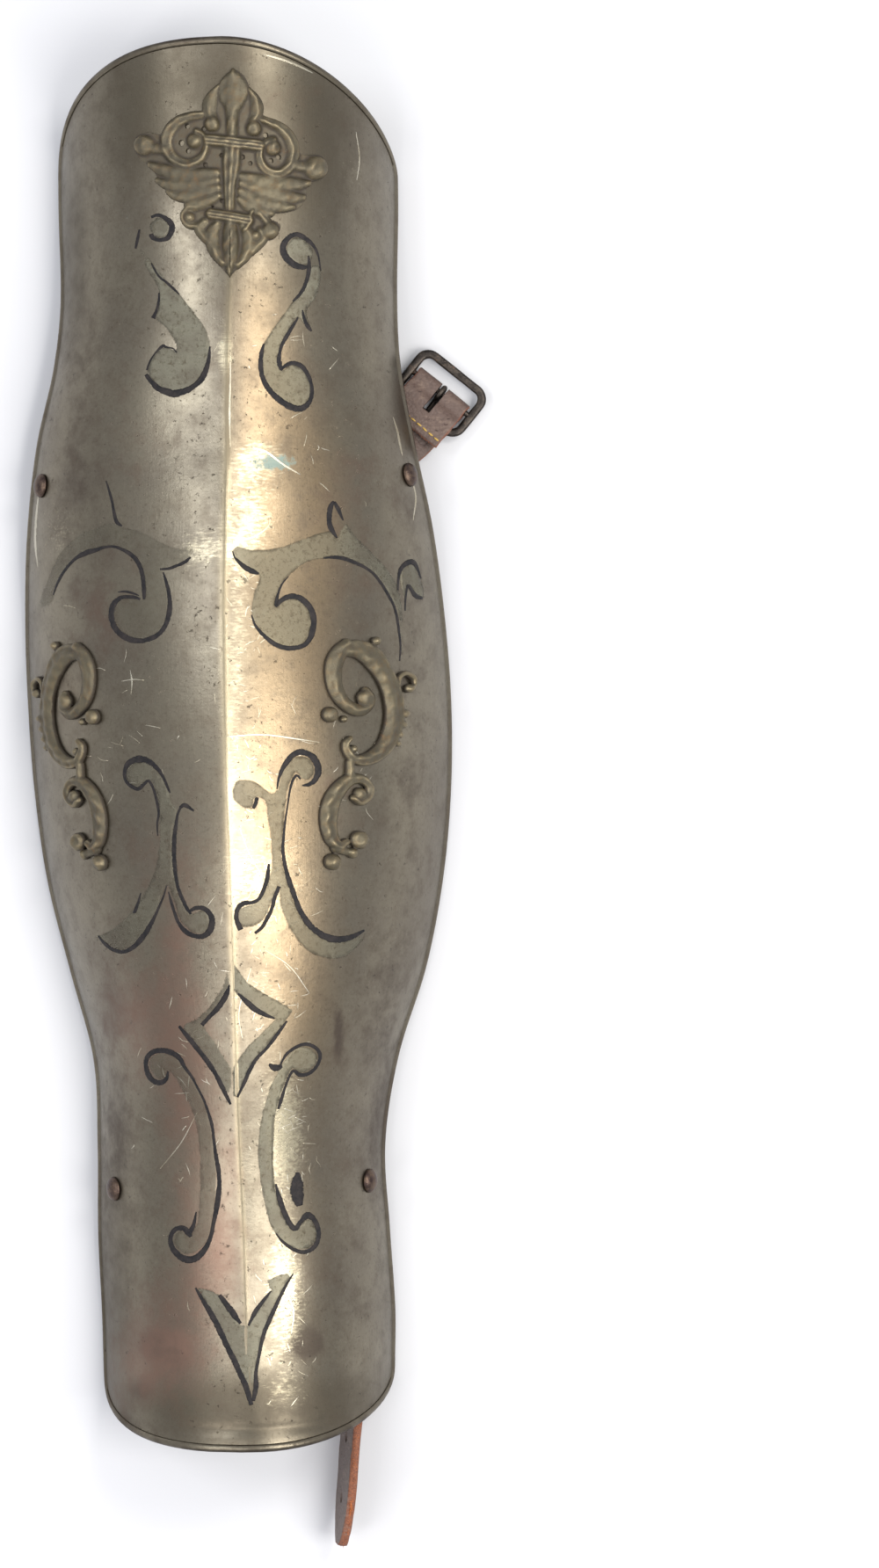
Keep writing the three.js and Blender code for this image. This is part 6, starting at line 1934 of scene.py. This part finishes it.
def buckle_part(buckle):
    inner_wide = STRAP_WIDTH / 2 + BUCKLE_PLAY
    inner_long = BUCKLE_REACH - BUCKLE_BAR / 2
    half_bar = BUCKLE_BAR / 2
    spots, outs = rounded_rectangle(inner_wide + half_bar, inner_long + half_bar, 3.6)
    finer = np.linspace(0, len(spots), 160, endpoint=False)
    ring = np.arange(len(spots) + 1)
    spots = np.stack([np.interp(finer, ring, np.append(spots[:, k], spots[0, k])) for k in (0, 1)], 1)
    outs = unit(np.stack([np.interp(finer, ring, np.append(outs[:, k], outs[0, k])) for k in (0, 1)], 1))
    turns = np.linspace(0, 2 * math.pi, 22, endpoint=False)
    wide = np.sign(np.cos(turns)) * np.abs(np.cos(turns)) ** 0.75 * half_bar
    deep = np.sign(np.sin(turns)) * np.abs(np.sin(turns)) ** 0.75 * BUCKLE_THICKNESS / 2
    forged = 1 - 0.05 * (1 + lumps(np.append(spots, spots[:, :1], 1), 5, 3))[:, None]
    a = spots[:, :1] + outs[:, :1] * wide[None] * forged
    s = spots[:, 1:] + outs[:, 1:] * wide[None] * forged
    n = deep[None] * forged
    axes = (buckle["across"], buckle["along"], buckle["up"])
    points = buckle["at"] + sum(value[..., None] * axis for value, axis in zip((a, s, n), axes))
    points = points.reshape(-1, 3)
    faces = grid_faces(len(spots), len(turns), close_rows=True, close_columns=True)
    frame_bar = (points, facing_out(points, faces), {})
    reach = inner_wide + half_bar
    pin = [in_frame(buckle, k * reach, 0, 0) for k in np.linspace(-1, 1, 12)]
    return join_parts([frame_bar, tube_part(pin, PIN_RADIUS, 20)])


def tongue_part(buckle):
    loop = PIN_RADIUS + CLEARANCE + PRONG_RADIUS
    turns = np.linspace(0, 2 * math.pi, 40, endpoint=False)
    ring = [in_frame(buckle, 0, loop * math.cos(turn), loop * math.sin(turn)) for turn in turns]
    ends = ((0.4 * loop, -loop, 1), (-0.45 * BUCKLE_REACH, -1.08 * loop, 1), (-1.2 * BUCKLE_REACH, -1.08 * loop, 0.7))
    rows = smooth_line(ends, 0.35)
    path = [in_frame(buckle, 0, s, n) for s, n, _ in rows]
    tip = np.sqrt(np.clip((len(rows) - 1 - np.arange(len(rows))) / 3, 0.05, 1))
    bar = tube_part(path, PRONG_RADIUS * rows[:, 2] * tip, 18)
    return join_parts([tube_part(ring, PRONG_RADIUS, 18, closed=True), bar])


def buckle_finish():
    paint = Paint("buckle_finish")
    grain = paint.noise(0.5, 5.0, 0.7)
    patch = paint.noise(3.0, 4.0, 0.65)
    hammer = paint.cells(2.6)
    iron = paint.blend(patch.step(0.3, 0.7), tone(46, 42, 40), tone(74, 68, 62))
    iron = paint.blend(grain.step(0.55, 0.75) * 0.5, iron, tone(112, 102, 90))
    rust = (patch * 0.5 + grain * 0.6).step(0.6, 0.72)
    iron = paint.blend(rust * 0.5, iron, tone(108, 68, 46))
    return paint.surface(
        Base_Color=iron,
        Metallic=0.9 - rust * 0.5,
        Roughness=0.36 + (patch - 0.5) * 0.3 + rust * 0.2,
        Normal=paint.bump(grain * 0.6 + patch - hammer * 0.5, 0.18, 0.8),
    )


iron_material = buckle_finish()
for name, buckle in buckles.items():
    points, faces, marks = buckle_part(buckle)
    piece = mesh_object(name + "_buckle_forged", to_model(points), faces, marks)
    finish_piece(piece, iron_material, name + "_frame", "buckle_iron", name + "_buckle")
    points, faces, marks = tongue_part(buckle)
    piece = mesh_object(name + "_tongue_forged", to_model(points), faces, marks)
    finish_piece(piece, iron_material, name + "_tongue", "buckle_iron", name + "_prong")

# %% [markdown]
# ## Stitches and loose fibres
# Waxed yellow thread holds the flap down in one row near its end, and the torn edges have a fringe
# of hide fibres. Both use the same tree, with long or short grains and with or without scatter.

# %% Thread and fibres
def thread_finish(name, light, dark):
    paint = Paint(name)
    fine = paint.noise(0.2, 3.0, 0.7)
    return paint.surface(
        Base_Color=paint.blend(fine.step(0.35, 0.7), dark, light),
        Roughness=0.6 + (fine - 0.5) * 0.3,
        Normal=paint.bump(fine, 0.06, 0.8),
    )


def line_edges(count):
    return [(k, k + 1) for k in range(count - 1)]


def grains_along(name, points, pitch, length, thickness, scatter, material):
    sizes = {
        "Pitch": pitch * MM, "Length": length * MM, "Thickness": thickness * MM, "Scatter": scatter, "Finish": material,
    }
    piece = made_by(GRAINS, to_model(points), line_edges(len(points)), sizes, name=name)
    finish_piece(piece, material, "root", "strap_leather")


thread = thread_finish("thread_finish", tone(214, 182, 96), tone(150, 116, 52))
fibre = thread_finish("fibre_finish", tone(206, 128, 70), tone(140, 70, 38))
flap_top = BUCKLE_THICKNESS / 2 + 2 * CLEARANCE + CHAPE_THICKNESS / 2 + CHAPE_THICKNESS + CLEARANCE + CHAPE_THICKNESS / 2
for name, buckle in buckles.items():
    sides = np.linspace(-8.2, 8.2, 24)
    row = np.array([in_frame(buckle, a, -FLAP_LENGTH + 2.4 - 0.03 * a, flap_top - 0.22) for a in sides])
    grains_along(name + "_stitches", row, 2.3, 1.9, 0.62, 0.12, thread)
    end = np.array([in_frame(buckle, a, -FLAP_LENGTH + 0.1, flap_top - 0.9) for a in np.linspace(-9.4, 9.4, 30)])
    grains_along(name + "_flap_fibres", end, 0.3, 1.1, 0.13, 1.0, fibre)

at, across, half = lower_line
edge = at[60:] + unit(across[60:]) * (half[60:, None] - 0.5)
grains_along("lower_edge_fibres", edge, 0.16, 2.1, 0.17, 0.9, fibre)

# %% [markdown]
# ## The ground and the light
# The greave was photographed on white, in the light of a big soft window up and to the right. The
# ridge throws the left side into shade, so the key light is large, and a dim one opposite keeps
# the shade from going black. The sky is the last fill, a little blue.

# %% Ground
def ground_finish():
    paint = Paint("ground_finish")
    fine = paint.noise(1.2, 4.0, 0.6)
    broad = paint.noise(160, 2.0, 0.5)
    shade = paint.blend(broad.step(0.3, 0.7), tone(206, 207, 211), tone(210, 211, 214))
    return paint.surface(
        Base_Color=shade,
        Roughness=0.8 + (fine - 0.5) * 0.1,
        Normal=paint.bump(fine, 0.05, 0.3),
    )


GROUND_HALF = 2000
corners = np.array([(-1, -1, 0), (1, -1, 0), (1, 1, 0), (-1, 1, 0)]) * GROUND_HALF * MM
ground = mesh_object("ground", corners, [[0, 1, 2, 3]])
ground.data.materials.append(ground_finish())
ground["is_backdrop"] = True
print("ground:", 2 * GROUND_HALF, "mm wide")

# %% Lights
def soft_light(name, place, size, power, color, target=(0, 0, 30)):
    data = bpy.data.lights.new(name, "AREA")
    data.shape = "RECTANGLE"
    data.size, data.size_y = size[0] * MM, size[1] * MM
    data.energy = power
    data.color = color
    light = bpy.data.objects.new(name, data)
    light.location = Vector(place) * MM
    aim = Vector(target) * MM - light.location
    light.rotation_euler = aim.to_track_quat("-Z", "Y").to_euler()
    scene.collection.objects.link(light)


soft_light("window", (640, -200, 1020), (520, 700), 11, (1.0, 0.97, 0.92))
soft_light("window_top", (560, 500, 1020), (320, 300), 4.4, (1.0, 0.97, 0.92))
soft_light("left_panel", (-690, 370, 1000), (360, 260), 3.4, (0.95, 0.97, 1.0))
soft_light("left_low", (-560, -420, 1000), (300, 800), 4.2, (1.0, 0.96, 0.94))

world = bpy.data.worlds.new("room")
world.use_nodes = True
world.node_tree.nodes["Background"].inputs["Color"].default_value = (0.93, 0.95, 1.0, 1.0)
world.node_tree.nodes["Background"].inputs["Strength"].default_value = 0.68
scene.world = world
scene.view_settings.view_transform = "Standard"

# %% Sizes, and the end
VISUAL_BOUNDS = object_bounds()
sizes = {
    "cad": [[float(value) for value in corner] for corner in CAD_BOUNDS],
    "visual": [[float(value) for value in corner] for corner in VISUAL_BOUNDS],
}
print("CAD box and visual box:", sizes)
